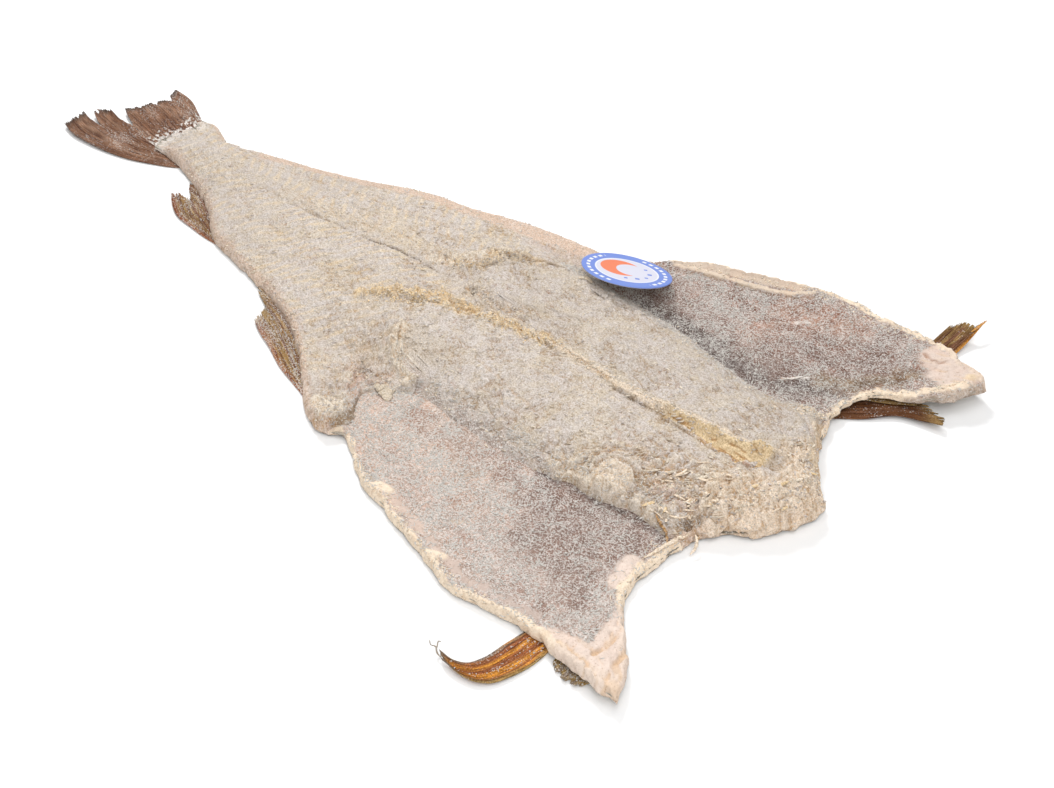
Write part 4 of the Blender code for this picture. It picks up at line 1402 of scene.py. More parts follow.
@dataclass
class Flap(Layer):
    """A belly flap: dark membrane under salt, inside a cream rim."""

    ragged: float = 1.3
    overlap: float = 12.0
    blotches: float = 0.35
    blush: float = 0.35

    def rim(self, place: Place) -> Grid:
        """Where the cream rim lies, from 0 to 1."""
        raise NotImplementedError

    def wrinkles(self, place: Place) -> Grid:
        """Folds in the dried tip."""
        return np.zeros(place.x.shape)

    def height(self, place: Place) -> tuple[Grid, Grid]:
        """A thin sheet with a raised, lumpy rim and a fine salty grain."""
        x, y, edge = place.x, place.y, place.edge
        angle = fibre_angle(x, y)
        rim = self.rim(place)
        rough = 1 - 0.7 * self.covered(place, PALE_TINTS)
        fibres = NOISE.fibres(x, y, angle, 6.0, 1.8) * rough
        grain = NOISE.waves(x, y, 1.4) * rough
        fine = 0.5 * fibres + 0.6 * grain
        relief = 0.55 * NOISE.rough(x, y, 26.0, 3) + 0.14 * fibres + 0.13 * grain
        relief = relief + rim * 0.7 * NOISE.rough(x, y, 8.0, 3)
        relief = relief + 0.6 * self.fray(place) * NOISE.rough(x, y, 4.0, 3) + self.wrinkles(place)
        ridge = (RIM_RIDGE + 0.7 * NOISE.rough(x, y, 11.0, 2)) * (1 - ease((edge - 1.5) / 4.5))
        shy = np.clip(1 - place.from_end / 12.0, 0.0, 1.0)
        ridge = ridge * (1 - shy) - 0.8 * shy
        return lift(x, y, edge) + FLAP_THICKNESS + ridge + self.mark_rise(place) + relief, fine

    def bare(self, place: Place) -> Grid:
        """Tone of the membrane before its marks."""
        return Tone.MAUVE.rgb

    def paint(self, place: Place, fine: Grid) -> tuple[Grid, Grid, Grid]:
        """Membrane, marks and rim; the salt thins out on the rim."""
        x, y = place.x, place.y
        tone = self.tint(self.bare(place), place)
        pale = self.covered(place, PALE_TINTS)
        rough = 1 - 0.75 * pale
        # Painted shade: darker where the fine relief is low.
        tone = mix(tone, tone * [0.66, 0.60, 0.57], 0.6 * rough * ease(-1.2 * fine))
        tone = mix(tone, tone * 1.30, 0.7 * rough * ease(1.5 * NOISE.rough(x, y, 9.0, 4)))
        blotches = self.blotches * rough * ease(1.7 * NOISE.rough(x, y + 77.0, 15.0, 4))
        tone = mix(tone, tone * [0.66, 0.56, 0.52], blotches)
        blush = self.blush * rough * ease(1.4 * NOISE.rough(x + 200.0, y, 17.0, 3))
        tone = mix(tone, tone * [0.95, 0.74, 0.64], blush)
        rim = self.rim(place)
        crumbs = NOISE.rough(x, y, 5.0, 3)
        cream = mix(Tone.RIM.rgb, Tone.RIM_SHADE.rgb, 0.40 * ease(1.6 * crumbs - 0.35))
        tone = mix(tone, cream, rim)
        salt = 0.30 + 0.22 * NOISE.rough(x, y, 12.0, 4)
        dark = self.covered(place, (Tone.CHARCOAL, Tone.SHADOW, Tone.BROWN))
        crust = 0.72 * (1 - 0.9 * rim) * (1 - 0.9 * pale)
        dim = self.covered(place, (Tone.SLATE, Tone.ROSE))
        smoothness = np.maximum(0.65 * rim, 0.8 * pale)[..., None]
        # Painted shade: tan in the low lines of the tip's folds.
        creases = ease(-1.6 * self.wrinkles(place) - 0.3)
        tone = mix(tone, Tone.RIM_SHADE.rgb, 0.6 * pale * creases)
        tone = np.concatenate([tone, 1 - smoothness], axis=2)
        return tone, salt * (1 - 0.3 * rim) * (1 - 0.9 * pale) - 0.16 * dim, crust * (1 - 0.45 * dark)


@dataclass
class NearFlap(Flap):
    """The near belly flap, down to its folded pink tip."""

    name: str = "near_flap"
    rows: int = 414
    columns: int = 168
    roll_low: float = 2.6
    roll_end: float = 3.0
    marks: Sequence[Mark] = field(default_factory=lambda: NEAR_FLAP_MARKS)

    def bare(self, place: Place) -> Grid:
        """Pale and pinkish towards the tail, darker towards the neck."""
        pale = mix(super().bare(place), Tone.PINK.rgb, 0.50)
        return mix(pale, Tone.MAUVE.rgb * 0.9, ease((place.x + 0.4 * place.y - 90.0) / 110.0))

    def high(self, x: Grid) -> Grid:
        """Under the near loin."""
        return smooth(x, NEAR_LOIN_SIDE) + 12.0

    def rim(self, place: Place) -> Grid:
        """Along the outline and, narrower, along the neck side."""
        uneven = 2.2 * NOISE.rough(place.x, place.y, 9.0, 3)
        side = 1 - ease((place.from_low + uneven - smooth(place.x, RIM_WIDTH_NEAR)) / 2.0)
        side = side * (1 - 0.75 * ease((place.x - 292.0) / 14.0))
        front = 1 - ease((place.from_end + uneven - 4.5) / 2.0)
        return np.maximum(side, front * (1 - 0.8 * ease((-place.y - 132.0) / 10.0)))

    def wrinkles(self, place: Place) -> Grid:
        """Folds that fan out along the tip."""
        x, y = place.x, place.y
        near_tip = ease((x - 292.0 - 0.35 * (y + 150.0)) / 16.0) * ease((-y - 120.0) / 20.0)
        angle = np.full(x.shape, 1.9) + 0.8 * NOISE.waves(x, y, 20.0)
        folds = 1.0 * NOISE.fibres(x, y, angle, 24.0, 5.0) + 0.75 * NOISE.fibres(x, y, angle, 16.0, 2.2)
        return near_tip * folds


@dataclass
class FarFlap(Flap):
    """The far belly flap, lifted over the far fins."""

    name: str = "far_flap"
    ragged: float = 2.0
    blotches: float = 0.9
    blush: float = 0.7
    rows: int = 420
    columns: int = 162
    roll_high: float = 3.0
    roll_end: float = 1.8
    marks: Sequence[Mark] = field(default_factory=lambda: FAR_FLAP_MARKS)

    def low(self, x: Grid) -> Grid:
        """Under the far loin."""
        return smooth(x, FAR_LOIN_SIDE) - 14.0

    def bare(self, place: Place) -> Grid:
        """Darker than the near flap."""
        return mix(super().bare(place), Tone.SLATE.rgb, 0.66)

    def rim(self, place: Place) -> Grid:
        """A narrow cream edge, wider towards the tip."""
        uneven = 1.4 * NOISE.rough(place.x, place.y, 8.0, 3)
        side = 1 - ease((place.from_high + uneven - 1.5 - 3.0 * ease((place.x - 205.0) / 20.0)) / 2.0)
        front = 1 - ease((place.from_end + 1.6 * uneven - 1.6) / 2.0)
        return np.maximum(side, front) * (1 - 0.6 * ease((place.x - 312.0) / 12.0))

    def wrinkles(self, place: Place) -> Grid:
        """Soft folds across the tip."""
        x, y = place.x, place.y
        angle = np.full(x.shape, 0.2) + 0.6 * NOISE.waves(x, y, 20.0)
        folds = NOISE.fibres(x, y, angle, 14.0, 4.0) + 0.8 * NOISE.fibres(x, y, angle, 16.0, 2.0)
        return 0.7 * ease((x - 290.0) / 18.0) * ease((y - 112.0) / 18.0) * folds


@dataclass
class Skin(Layer):
    """The skin side: mottled olive back, pale belly, and a pale line along each flank."""

    name: str = "skin"
    rows: int = 384
    columns: int = 216
    step: int = 8
    roll_start: float = 1.8
    roll_end: float = 1.8
    roll_low: float = 1.8
    roll_high: float = 1.8
    inset: float = 0.9

    def start(self, v: Grid) -> Grid:
        """Just inside the tail end."""
        return smooth(v, TAIL_SHARES) + self.inset

    def end(self, v: Grid) -> Grid:
        """Just inside the neck cut."""
        return super().end(v) - self.inset

    def low(self, x: Grid) -> Grid:
        """Just inside the near outline."""
        return super().low(x) + self.inset

    def high(self, x: Grid) -> Grid:
        """Just inside the far outline."""
        return super().high(x) - self.inset

    def paint(self, place: Place, fine: Grid) -> tuple[Grid, Grid, Grid]:
        """Dark marbled back to pale belly, by the distance from the back line."""
        x, y = place.x, place.y
        middle = smooth(x, BACKBONE)
        outer = np.where(y < middle, middle - smooth(x, NEAR_EDGE), smooth(x, FAR_EDGE) - middle)
        share = np.abs(y - middle) / outer
        marbling = NOISE.rough(x, y, 13.0, 4)
        tone = mix(Tone.SKIN_BACK.rgb, Tone.SKIN_FLANK.rgb, ease(1.5 * share + 0.8 * marbling))
        tone = mix(tone, Tone.SKIN_BELLY.rgb, ease((share - 0.52) / 0.35 + 0.35 * marbling))
        line = np.abs(share - 0.30 - 0.05 * np.sin(x / 70.0)) * outer
        tone = mix(tone, Tone.SKIN_BELLY.rgb, 0.85 * (1 - ease((line - 0.8) / 1.4)))
        return tone, 0.35 + 0.2 * marbling, np.full(x.shape, 0.5)

    def surface(self) -> tuple[Grid, Grid, Grid, Grid, Grid]:
        """The underside is the fine grid here, and the coarse grid lies hidden in the flesh.

        The fine grid is the underside's height plus a little noise, and rises where the sides are
        rolled. The coarse grid lies 2.3 mm above it.

        Returns:
            The fine grid's points, the coarse grid's points, and the fine grid's tone, salt and crust.
        """
        place = self.place()
        fine = NOISE.waves(place.x, place.y, 3.0)
        rise = 1.7 * (1 - self.rolled(place))
        z = underside(place.x, place.y, place.edge) + rise + 0.08 * fine + 0.08
        tone, salt, crust = self.paint(place, fine)
        x, y = self.wander(place, z)
        under = np.stack([x, y, z], axis=2)
        hidden = np.stack([x, y, z - rise + 2.3], axis=2)[::self.step, ::self.step]
        return under, hidden, tone, salt, crust

    def build(self, finish: bpy.types.Material) -> tuple[bpy.types.Object, Grid, Grid]:
        """Makes the piece as any layer, then turns it over, because its fine side faces down."""
        item, under, salt = super().build(finish)
        item.data.flip_normals()
        return item, under, salt


# ---------------------------------------------------------------- fins


def along_path(u: Grid, path: Grid) -> Grid:
    """Reads a dense path at shares u of its points, in straight steps between them."""
    share = np.linspace(0, 1, len(path))
    return np.stack([np.interp(u, share, path[:, k]) for k in range(path.shape[1])], axis=-1)


@dataclass
class Fin:
    """A dried fin: rays that fork towards a torn margin, with thin skin between them.

    Rays run from the root curve to the margin curve between the two side curves, each a list of
    points between them. A tear is (place across, depth, half width).
    """

    name: str
    slot: str
    root: Sequence[tuple[float, float]]
    margin: Sequence[tuple[float, float]]
    lower_side: Sequence[tuple[float, float]]
    upper_side: Sequence[tuple[float, float]]
    rays: int
    steps: int
    height: tuple[float, float]
    base: Tone
    streak: Tone
    lower_tone: Tone
    upper_tone: Tone
    tip: Tone
    replaces: str | None = None
    tears: Sequence[tuple[float, float, float]] = ()
    jag: float = 0.05
    wave: float = 0.5
    salt: float = 0.45
    root_salt: float = 0.85
    salty_share: float = 0.08
    tip_share: float = 0.12
    root_line: Knots | None = None
    thickness: tuple[float, float] = (1.6, 0.7)

    PER_RAY = 6
    SIDE_POINTS = 201

    def build(self, finish: bpy.types.Material) -> tuple[bpy.types.Object, Grid, Grid]:
        """Makes the blade.

        A ray stands out as a raised cosine across the blade, and has twice as many crests past half
        its length. The place of a point is the sum of what the two sides and the two ends give, less
        what the corners give.

        Args:
            finish: Its material.

        Returns:
            The object, its upper grid and the salt on it.
        """
        columns = self.rays * self.PER_RAY
        u, v = parameters(self.steps, columns)
        seed = 40.0 * len(self.name) + self.root[0][0]
        fork = ease((u - 0.45) / 0.25)
        crest = (0.5 + 0.5 * np.cos(2 * math.pi * self.rays * v)) ** 1.5
        forked = (0.5 + 0.5 * np.cos(4 * math.pi * self.rays * v)) ** 1.5
        ray = crest * (1 - fork) + forked * fork
        torn = self.jag * (0.8 + 1.2 * NOISE.rough(v * self.rays * 1.3 + seed, 0.5 + 0 * v, 1.0, 3) - forked)
        reach = 1 - np.clip(torn, 0.0, 0.5)
        for place, depth, half_width in self.tears:
            reach = reach - depth * np.clip(1 - np.abs(v - place) / half_width, 0, 1) ** 0.7
        r = u * (1 - u * (1 - reach))
        start, end = along(self.root, columns + 1), along(self.margin, columns + 1)
        low_side = along_path(r, along([self.root[0], *self.lower_side, self.margin[0]], self.SIDE_POINTS))
        high_side = along_path(r, along([self.root[-1], *self.upper_side, self.margin[-1]], self.SIDE_POINTS))
        r3, v3 = r[..., None], v[..., None]
        ends = (1 - r3) * start[None] + r3 * end[None]
        corners = (1 - v3) * ((1 - r3) * start[0] + r3 * end[0]) + v3 * ((1 - r3) * start[-1] + r3 * end[-1])
        plan = (1 - v3) * low_side + v3 * high_side + ends - corners
        lift_up = self.height[0] + (self.height[1] - self.height[0]) * r**2
        waves = NOISE.waves(v * 5 + seed, r * 1.5, 1.0), NOISE.waves(v * 14 + seed, r * 3, 1.0)
        wavy = self.wave * r * (1 + waves[0] + 0.5 * waves[1])
        thick = self.thickness[0] + (self.thickness[1] - self.thickness[0]) * r
        thick = thick * (0.35 + 0.65 * np.sqrt(np.clip(1 - (2 * v - 1) ** 10, 0, 1)))
        under = lift_up + wavy
        upper = under + thick * 0.6 + 0.4 * ray * (0.4 + 0.6 * ease(4 * r))
        top = np.stack([plan[..., 0], plan[..., 1], upper], axis=2)
        bottom = np.stack([plan[..., 0], plan[..., 1], under], axis=2)
        bare = r
        if self.root_line is not None:
            bare = (smooth(plan[..., 1], self.root_line) - plan[..., 0]) / 90.0
            bare = bare + ease((-22.0 - plan[..., 1]) / 6.0)
        tone, salt, crust = self.paint(r, v, ray, seed, bare)
        points = np.concatenate([top.reshape(-1, 3), bottom.reshape(-1, 3)])
        painted = [np.concatenate([a.reshape(-1, *a.shape[2:])] * 2) for a in (tone, salt, crust)]
        item = piece(self.name, points, slab_faces(*u.shape, 1), finish, self.slot, self.replaces, *painted)
        return item, top, salt

    def paint(self, r: Grid, v: Grid, ray: Grid, seed: float, bare: Grid) -> tuple[Grid, Grid, Grid]:
        """Lengthwise bands of two tones, other tones along both sides, a dark margin and a salty root.

        Args:
            r: Share of the way from the root to the margin.
            v: Share of the way across.
            ray: 1 on a ray, 0 between rays.
            seed: Shifts the noise from fin to fin.
            bare: Share of the way from where the body's flesh ends.

        Returns:
            Tone, salt and crust.
        """
        bands = NOISE.waves(v * 11.0 + seed, r * 1.2 + 3.0, 1.0)
        streaks = NOISE.rough(v * self.rays * 2.0 + seed, r * 5.0, 1.0, 3)
        tone = mix(self.base.rgb, self.streak.rgb, ease(0.5 + 1.4 * bands))
        tone = mix(tone, self.lower_tone.rgb, 1 - ease((v + 0.08 * streaks) / 0.16))
        tone = mix(tone, self.upper_tone.rgb, 1 - ease((1 - v + 0.08 * streaks) / 0.16))
        dark = 0.85 * ease(-1.6 * streaks - 0.1) + 0.5 * (1 - ray) * ease(3 * r)
        tone = mix(tone, tone * [0.40, 0.30, 0.26], dark)
        tone = mix(tone, tone * [1.5, 1.45, 1.4], 0.7 * ease(1.5 * streaks - 0.1))
        tone = mix(tone, self.tip.rgb, 0.9 * ease((r - 1 + self.tip_share + 0.05 * streaks) / self.tip_share))
        patches = NOISE.rough(v * 6.0 + seed, r * 3.0, 1.0, 3)
        lace = NOISE.rough(v * self.rays * 0.7, bare * 22.0 + seed, 1.0, 3)
        at_root = 1 - ease((bare - self.salty_share - 0.07 * streaks - 0.15 * lace) / 0.07)
        at_root = at_root * ease(0.6 + 1.8 * lace + 0.7 * streaks)
        salt = self.salt + 0.25 * patches + (self.root_salt - self.salt) * at_root
        return tone, salt, 0.5 + 0.4 * at_root


FIN_CLEARANCE = 0.35

FINS = [
    Fin("tail_fin_blade", "tail_fin", replaces="tail_fin", root=[(-238, -26), (-262, -22), (-273, -12),
        (-274, 0), (-272, 10), (-276, 19)], margin=[(-363, -55), (-366, -41), (-367.5, -32), (-361, -24),
        (-350, -12), (-344, 0), (-341.5, 14), (-338, 24), (-342, 34), (-347, 41)], lower_side=[(-244, -31),
        (-260, -40), (-280, -49), (-300, -54.5), (-320, -57.5), (-346, -58.5)], upper_side=[(-290, 27),
        (-305, 33.5), (-322, 40)], tears=[(0.13, 0.03, 0.02), (0.235, 0.24, 0.035), (0.30, 0.05, 0.012),
        (0.46, 0.34, 0.05), (0.62, 0.04, 0.02), (0.74, 0.06, 0.025), (0.86, 0.09, 0.03)], rays=30, steps=84,
        height=(FIN_CLEARANCE, 3.0), base=Tone.FIN_BROWN, streak=Tone.FIN_UMBER, lower_tone=Tone.FIN_BROWN,
        upper_tone=Tone.FIN_UMBER, tip=Tone.FIN_BLACK, wave=0.9, salt=0.16, tip_share=0.09, jag=0.018,
        salty_share=0.07, root_salt=0.95, root_line=TAIL_END),
    Fin("anal_fin_rear_blade", "anal_fins", replaces="anal_fin_rear", root=[(-116, -72.5), (-118, -66)],
        margin=[(-211, -57), (-205, -47), (-213, -39)], lower_side=[(-148, -74), (-164, -73), (-184, -71),
        (-200, -64)], upper_side=[(-148, -58), (-175, -44), (-198, -36)], rays=12, steps=90,
        tears=[(0.42, 0.10, 0.18)], height=(FIN_CLEARANCE, 1.5), base=Tone.FIN_BROWN, streak=Tone.FIN_OLIVE,
        lower_tone=Tone.FIN_RUST, upper_tone=Tone.FIN_OLIVE, tip=Tone.FIN_BROWN, salt=0.31, jag=0.035),
    Fin("anal_fin_front_blade", "anal_fins", replaces="anal_fin_front", root=[(60, -141), (56, -132)],
        margin=[(-38, -111), (-41, -104), (-42, -101), (-57, -93), (-72, -82)], lower_side=[(34, -135),
        (13, -130), (-7, -122.5), (-27, -116)], upper_side=[(34, -118), (5, -102), (-25, -89), (-55, -81)],
        rays=13, steps=100, tears=[(0.5, 0.06, 0.2)], height=(FIN_CLEARANCE, 1.2), base=Tone.FIN_BROWN,
        streak=Tone.FIN_OLIVE, lower_tone=Tone.FIN_RUST, upper_tone=Tone.FIN_GREY, tip=Tone.FIN_OLIVE,
        salt=0.42, jag=0.03),
    Fin("pectoral_fin_near_blade", "pectoral_fins", replaces="pectoral_fin_near", root=[(279, -172),
        (296, -172)], margin=[(258, -219.5), (262, -222), (269, -223)], lower_side=[(277, -192),
        (276, -207), (273, -214.5), (267, -218.5)], upper_side=[(296, -197), (294, -206), (290, -215.5),
        (284, -220.5), (276, -222.7)], rays=11, steps=84, height=(FIN_CLEARANCE, 2.5), base=Tone.FIN_AMBER,
        streak=Tone.FIN_RUST, lower_tone=Tone.FIN_GREY, upper_tone=Tone.FIN_STRAW, tip=Tone.FIN_GREY,
        wave=0.9, salt=0.10, root_salt=0.2),
    Fin("pelvic_fin_near_blade", "pelvic_fins", replaces="pelvic_fin_near", root=[(301, -178), (325, -177)],
        margin=[(302.5, -184), (306, -186.5), (312, -188.5), (319, -188), (323, -185.5)],
        lower_side=[(302, -181)], upper_side=[(324, -182)], rays=14, steps=14, tears=[(0.35, 0.25, 0.04),
        (0.66, 0.3, 0.05)], height=(FIN_CLEARANCE, 1.0), base=Tone.FIN_STRAW, streak=Tone.FIN_GREY,
        lower_tone=Tone.FIN_STRAW, upper_tone=Tone.FIN_STRAW, tip=Tone.FIN_GREY, jag=0.22, salt=0.3,
        root_salt=0.3),
    Fin("pectoral_fin_far_blade", "pectoral_fins", replaces="pectoral_fin_far", root=[(296, 158),
        (313, 158)], margin=[(299, 192), (301, 198), (305, 203), (309, 203.5), (313, 213.5)],
        lower_side=[(296, 175)], upper_side=[(313, 175), (313.3, 195)], rays=10, steps=60,
        height=(FIN_CLEARANCE, 9.0), base=Tone.FIN_BROWN, streak=Tone.FIN_OLIVE, lower_tone=Tone.FIN_OLIVE,
        upper_tone=Tone.FIN_AMBER, tip=Tone.FIN_OLIVE, wave=0.8, salt=0.0, root_salt=0.0),
    Fin("pelvic_fin_far_blade", "pelvic_fins", replaces="pelvic_fin_far", root=[(284, 63), (286, 96)],
        margin=[(346.5, 107), (344, 113), (338, 114), (330, 117)], lower_side=[(292, 71), (307, 84),
        (322, 100), (334, 104)], upper_side=[(300, 108), (316, 114)], rays=15, steps=84,
        tears=[(0.45, 0.08, 0.05), (0.7, 0.10, 0.06)], height=(FIN_CLEARANCE, 4.5), base=Tone.FIN_MAROON,
        streak=Tone.FIN_BROWN, lower_tone=Tone.FIN_MAROON, upper_tone=Tone.FIN_OLIVE, tip=Tone.FIN_OLIVE,
        wave=0.7, salt=0.05, root_salt=0.1, tip_share=0.22, jag=0.10),
    Fin("pelvic_fin_far_lobe", "pelvic_fins", root=[(296, 96), (294, 107)], margin=[(326, 111), (327, 116),
        (322, 119.5), (317, 117)], lower_side=[(311, 103)], upper_side=[(306, 114)], rays=8, steps=36,
        height=(3.2, 6.5), base=Tone.FIN_STRAW, streak=Tone.FIN_OLIVE, lower_tone=Tone.FIN_OLIVE,
        upper_tone=Tone.FIN_STRAW, tip=Tone.FIN_STRAW, salt=0.2, root_salt=0.2, jag=0.08),
]


def dorsal_fins() -> list[Fin]:
    """The three back fins, folded flat into the channel under the fish."""
    fins = []
    for name, tail_x, neck_x in (("third", -214, -150), ("second", -118, -22), ("first", 28, 112)):
        xs = np.linspace(neck_x, tail_x, 5)
        middle = smooth(xs, BACKBONE)
        reach = np.array([6.5, 7.0, 6.0, 4.5, 2.5])
        fins.append(Fin(
            f"dorsal_fin_{name}", "flesh_and_skin",
            root=[(float(x), float(y) + 3.0) for x, y in zip(xs, middle)],
            margin=[(float(x) - 9.0, float(y) + 3.0 - float(r)) for x, y, r in zip(xs, middle, reach)],
            lower_side=[(float(xs[0]) - 4.5, float(middle[0]) - 0.5)],
            upper_side=[(float(xs[-1]) - 4.5, float(middle[-1]) + 1.5)],
            rays=18, steps=12, height=(0.35, 0.25), base=Tone.FIN_BROWN, streak=Tone.FIN_OLIVE,
            lower_tone=Tone.FIN_BROWN, upper_tone=Tone.FIN_BROWN, tip=Tone.FIN_BROWN, wave=0.05, salt=0.3,
            root_salt=0.5, thickness=(0.9, 0.5),
        ))
    return fins


# ---------------------------------------------------------------- small things on the surface


@dataclass
class Ground:
    """The top of the finished layers as heights on a one millimetre raster."""

    heights: Grid
    origin: Grid

    @classmethod
    def of(cls, grids: Sequence[Grid]) -> "Ground":
        """Builds the raster from the layers' upper grids.

        Args:
            grids: Point grids in plan millimetres.

        Returns:
            The raster.
        """
        points = np.concatenate([grid.reshape(-1, 3) for grid in grids])
        origin = points[:, :2].min(axis=0) - 5.0
        size = (points[:, :2].max(axis=0) - origin + 6.0).astype(int)
        heights = np.zeros(size)
        cell = np.floor(points[:, :2] - origin).astype(int)
        np.maximum.at(heights, (cell[:, 0], cell[:, 1]), points[:, 2])
        return cls(heights, origin)

    def at(self, x: Grid, y: Grid) -> Grid:
        """Height of the surface at places in the plan."""
        i = np.clip(np.floor(np.asarray(x) - self.origin[0]).astype(int), 0, self.heights.shape[0] - 1)
        j = np.clip(np.floor(np.asarray(y) - self.origin[1]).astype(int), 0, self.heights.shape[1] - 1)
        return self.heights[i, j]


def unit(v: Grid) -> Grid:
    """Vectors scaled to length 1."""
    return v / np.maximum(np.linalg.norm(v, axis=-1, keepdims=True), 1e-9)


def sweep(paths: Grid, wide: Grid, thick: Grid, sides: int = 5) -> tuple[Grid, list]:
    """Closed tapering rods or ribbons, one along each path.

    Every corner of a ring is the path's point, plus wide times the cosine of its angle across the
    path, plus thick times the sine above it.

    Args:
        paths: Points along every path, shaped (paths, points, 3).
        wide: Half width at every point.
        thick: Half thickness at every point.
        sides: Corners of the cross-section.

    Returns:
        Vertices and faces of all of them together.
    """
    tangent = unit(np.gradient(paths, axis=1))
    across = unit(np.cross(tangent, [0.03, 0.02, 1.0]))
    above = np.cross(across, tangent)
    angle = np.arange(sides) * 2 * math.pi / sides
    ring = across[:, :, None] * (wide[..., None] * np.cos(angle))[..., None]
    ring = ring + above[:, :, None] * (thick[..., None] * np.sin(angle))[..., None]
    points = paths[:, :, None] + ring
    count, length = paths.shape[:2]
    index = np.arange(count * length * sides).reshape(count, length, sides)
    turned = np.roll(index, -1, axis=2)
    skin = np.stack([index[:, :-1], index[:, 1:], turned[:, 1:], turned[:, :-1]], axis=-1).reshape(-1, 4)
    return points.reshape(-1, 3), skin.tolist() + index[:, 0].tolist() + index[:, -1, ::-1].tolist()


@dataclass(frozen=True)
class Tuft:
    """A patch of loose fibres: where they start, how many, which way they lie and how big they are."""

    path: Sequence[tuple[float, float]]
    spread: float
    count: int
    angle: float
    turn: float
    length: tuple[float, float]
    wide: tuple[float, float]
    tones: Sequence[Tone]

    @classmethod
    def over(cls, grid: Grid, weight: Grid, count: int, turn: float, length: tuple[float, float],
             wide: tuple[float, float], tones: Sequence[Tone], seed: int) -> "list[Tuft]":
        """Tufts of one kind all over a layer, each lying along its grain.

        Args:
            grid: The layer's fine grid.
            weight: How densely they lie at every point.
            count: How many fibres.
            turn: How far they stray from the grain.
            length: Shortest and longest.
            wide: Narrowest and widest.
            tones: Their tones.
            seed: Picks the places.

        Returns:
            One tuft for each of twelve directions.
        """
        points, chance = grid.reshape(-1, 3), np.clip(weight, 0.0, None).ravel()
        rng = np.random.default_rng(seed)
        chosen = points[rng.choice(len(points), count, p=chance / chance.sum())]
        angle = np.round(fibre_angle(chosen[:, 0], chosen[:, 1]) * 4.0) / 4.0
        groups = [(float(a), chosen[angle == a][:, :2]) for a in np.unique(angle)]
        return [cls(places, 0.4, len(places), a, turn, length, wide, tones) for a, places in groups]


@dataclass
class LooseFibres:
    """Fibres and flakes of dried flesh that stand off the surface, joined as one piece."""

    name: str
    tufts: Sequence[Tuft]
    ground: Ground
    seed: int = 5
    points_each: int = 7
    flatness: float = 0.5
    rise: float = 0.12
    sunk: float = 0.3

    def build(self, finish: bpy.types.Material) -> bpy.types.Object:
        """Makes the piece: every fibre is a bent, tapering rod that rises towards its free end.

        Args:
            finish: Its material.

        Returns:
            The object.
        """
        rng = np.random.default_rng(self.seed)
        paths, widths, tones = [], [], []
        s = np.linspace(0, 1, self.points_each)[None]
        for tuft in self.tufts:
            n = tuft.count
            spine = tuft.path if len(tuft.path) == n else along(tuft.path, 60)[rng.integers(0, 60, n)]
            start = spine + rng.normal(0.0, tuft.spread / 2, (n, 2))
            length = rng.uniform(*tuft.length, n)[:, None]
            heading = tuft.angle + rng.normal(0.0, tuft.turn, n)[:, None]
            heading = heading + rng.normal(0.0, 0.7, n)[:, None] * s
            step = length / (self.points_each - 1)
            x = start[:, :1] + np.cumsum(np.cos(heading) * step, axis=1)
            y = start[:, 1:] + np.cumsum(np.sin(heading) * step, axis=1)
            wide = rng.uniform(*tuft.wide, n)[:, None] * np.sqrt(np.clip(1 - (2 * s - 1) ** 2, 0.03, 1))
            rise = rng.uniform(0.0, self.rise, n)[:, None] * length * s**1.5
            ground = self.ground.at(x, y)
            kept = ground.min(axis=1) > np.maximum(3.0, 0.72 * ground[:, 0])
            z = ground.mean(axis=1, keepdims=True) + rise - self.sunk * (1 - s)
            paths.append(np.stack([x, y, z], axis=2)[kept])
            widths.append(wide[kept])
            chosen = np.array([tone.rgb for tone in tuft.tones])[rng.integers(0, len(tuft.tones), n)]
            tones.append((chosen * rng.uniform(0.85, 1.12, (n, 1)))[kept])
        paths, wide, tone = np.concatenate(paths), np.concatenate(widths), np.concatenate(tones)
        points, faces = sweep(paths, wide, wide * self.flatness)
        painted = np.repeat(tone, len(points) // len(paths), axis=0)
        salt = crust = np.array(0.3)
        return piece(self.name, points, faces, finish, "flesh_and_skin", None, painted, salt, crust)


@dataclass(frozen=True)
class Strand:
    """One larger strand or scrap of flesh with its own path in plan and height above the surface."""

    name: str
    path: Sequence[tuple[float, float, float]]
    wide: float
    thick: float
    tone: Tone
    slot: str = "flesh_and_skin"
    on_floor: bool = False

    POINTS = 40
    SIDES = 12

    def build(self, ground: Ground, finish: bpy.types.Material) -> bpy.types.Object:
        """Makes the strand, uneven in width and tapering to its ends.

        Args:
            ground: The surface it lies on.
            finish: Its material.

        Returns:
            The object.
        """
        x, y, above = along(self.path, self.POINTS).T
        z = above + (0.0 if self.on_floor else ground.at(x, y))
        s = np.linspace(0, 1, self.POINTS)
        taper = np.sqrt(np.clip(1 - (2 * s - 1) ** 2, 0.02, 1))
        uneven = 1 + 0.35 * NOISE.rough(s * 9.0 + x[0], y[0] + 0 * s, 1.0, 3)
        path = np.stack([x, y, z], axis=1)[None]
        wide, thick = (size * taper * uneven for size in (self.wide, self.thick))
        vertices, faces = sweep(path, wide[None], thick[None], self.SIDES)
        grain = 0.85 + 0.3 * (0.5 + 0.5 * NOISE.rough(vertices[:, 0], vertices[:, 1], 2.0, 3))
        tone = self.tone.rgb * grain[:, None]
        return piece(self.name, vertices, faces, finish, self.slot, None, tone, np.array(0.35), np.array(0.4))


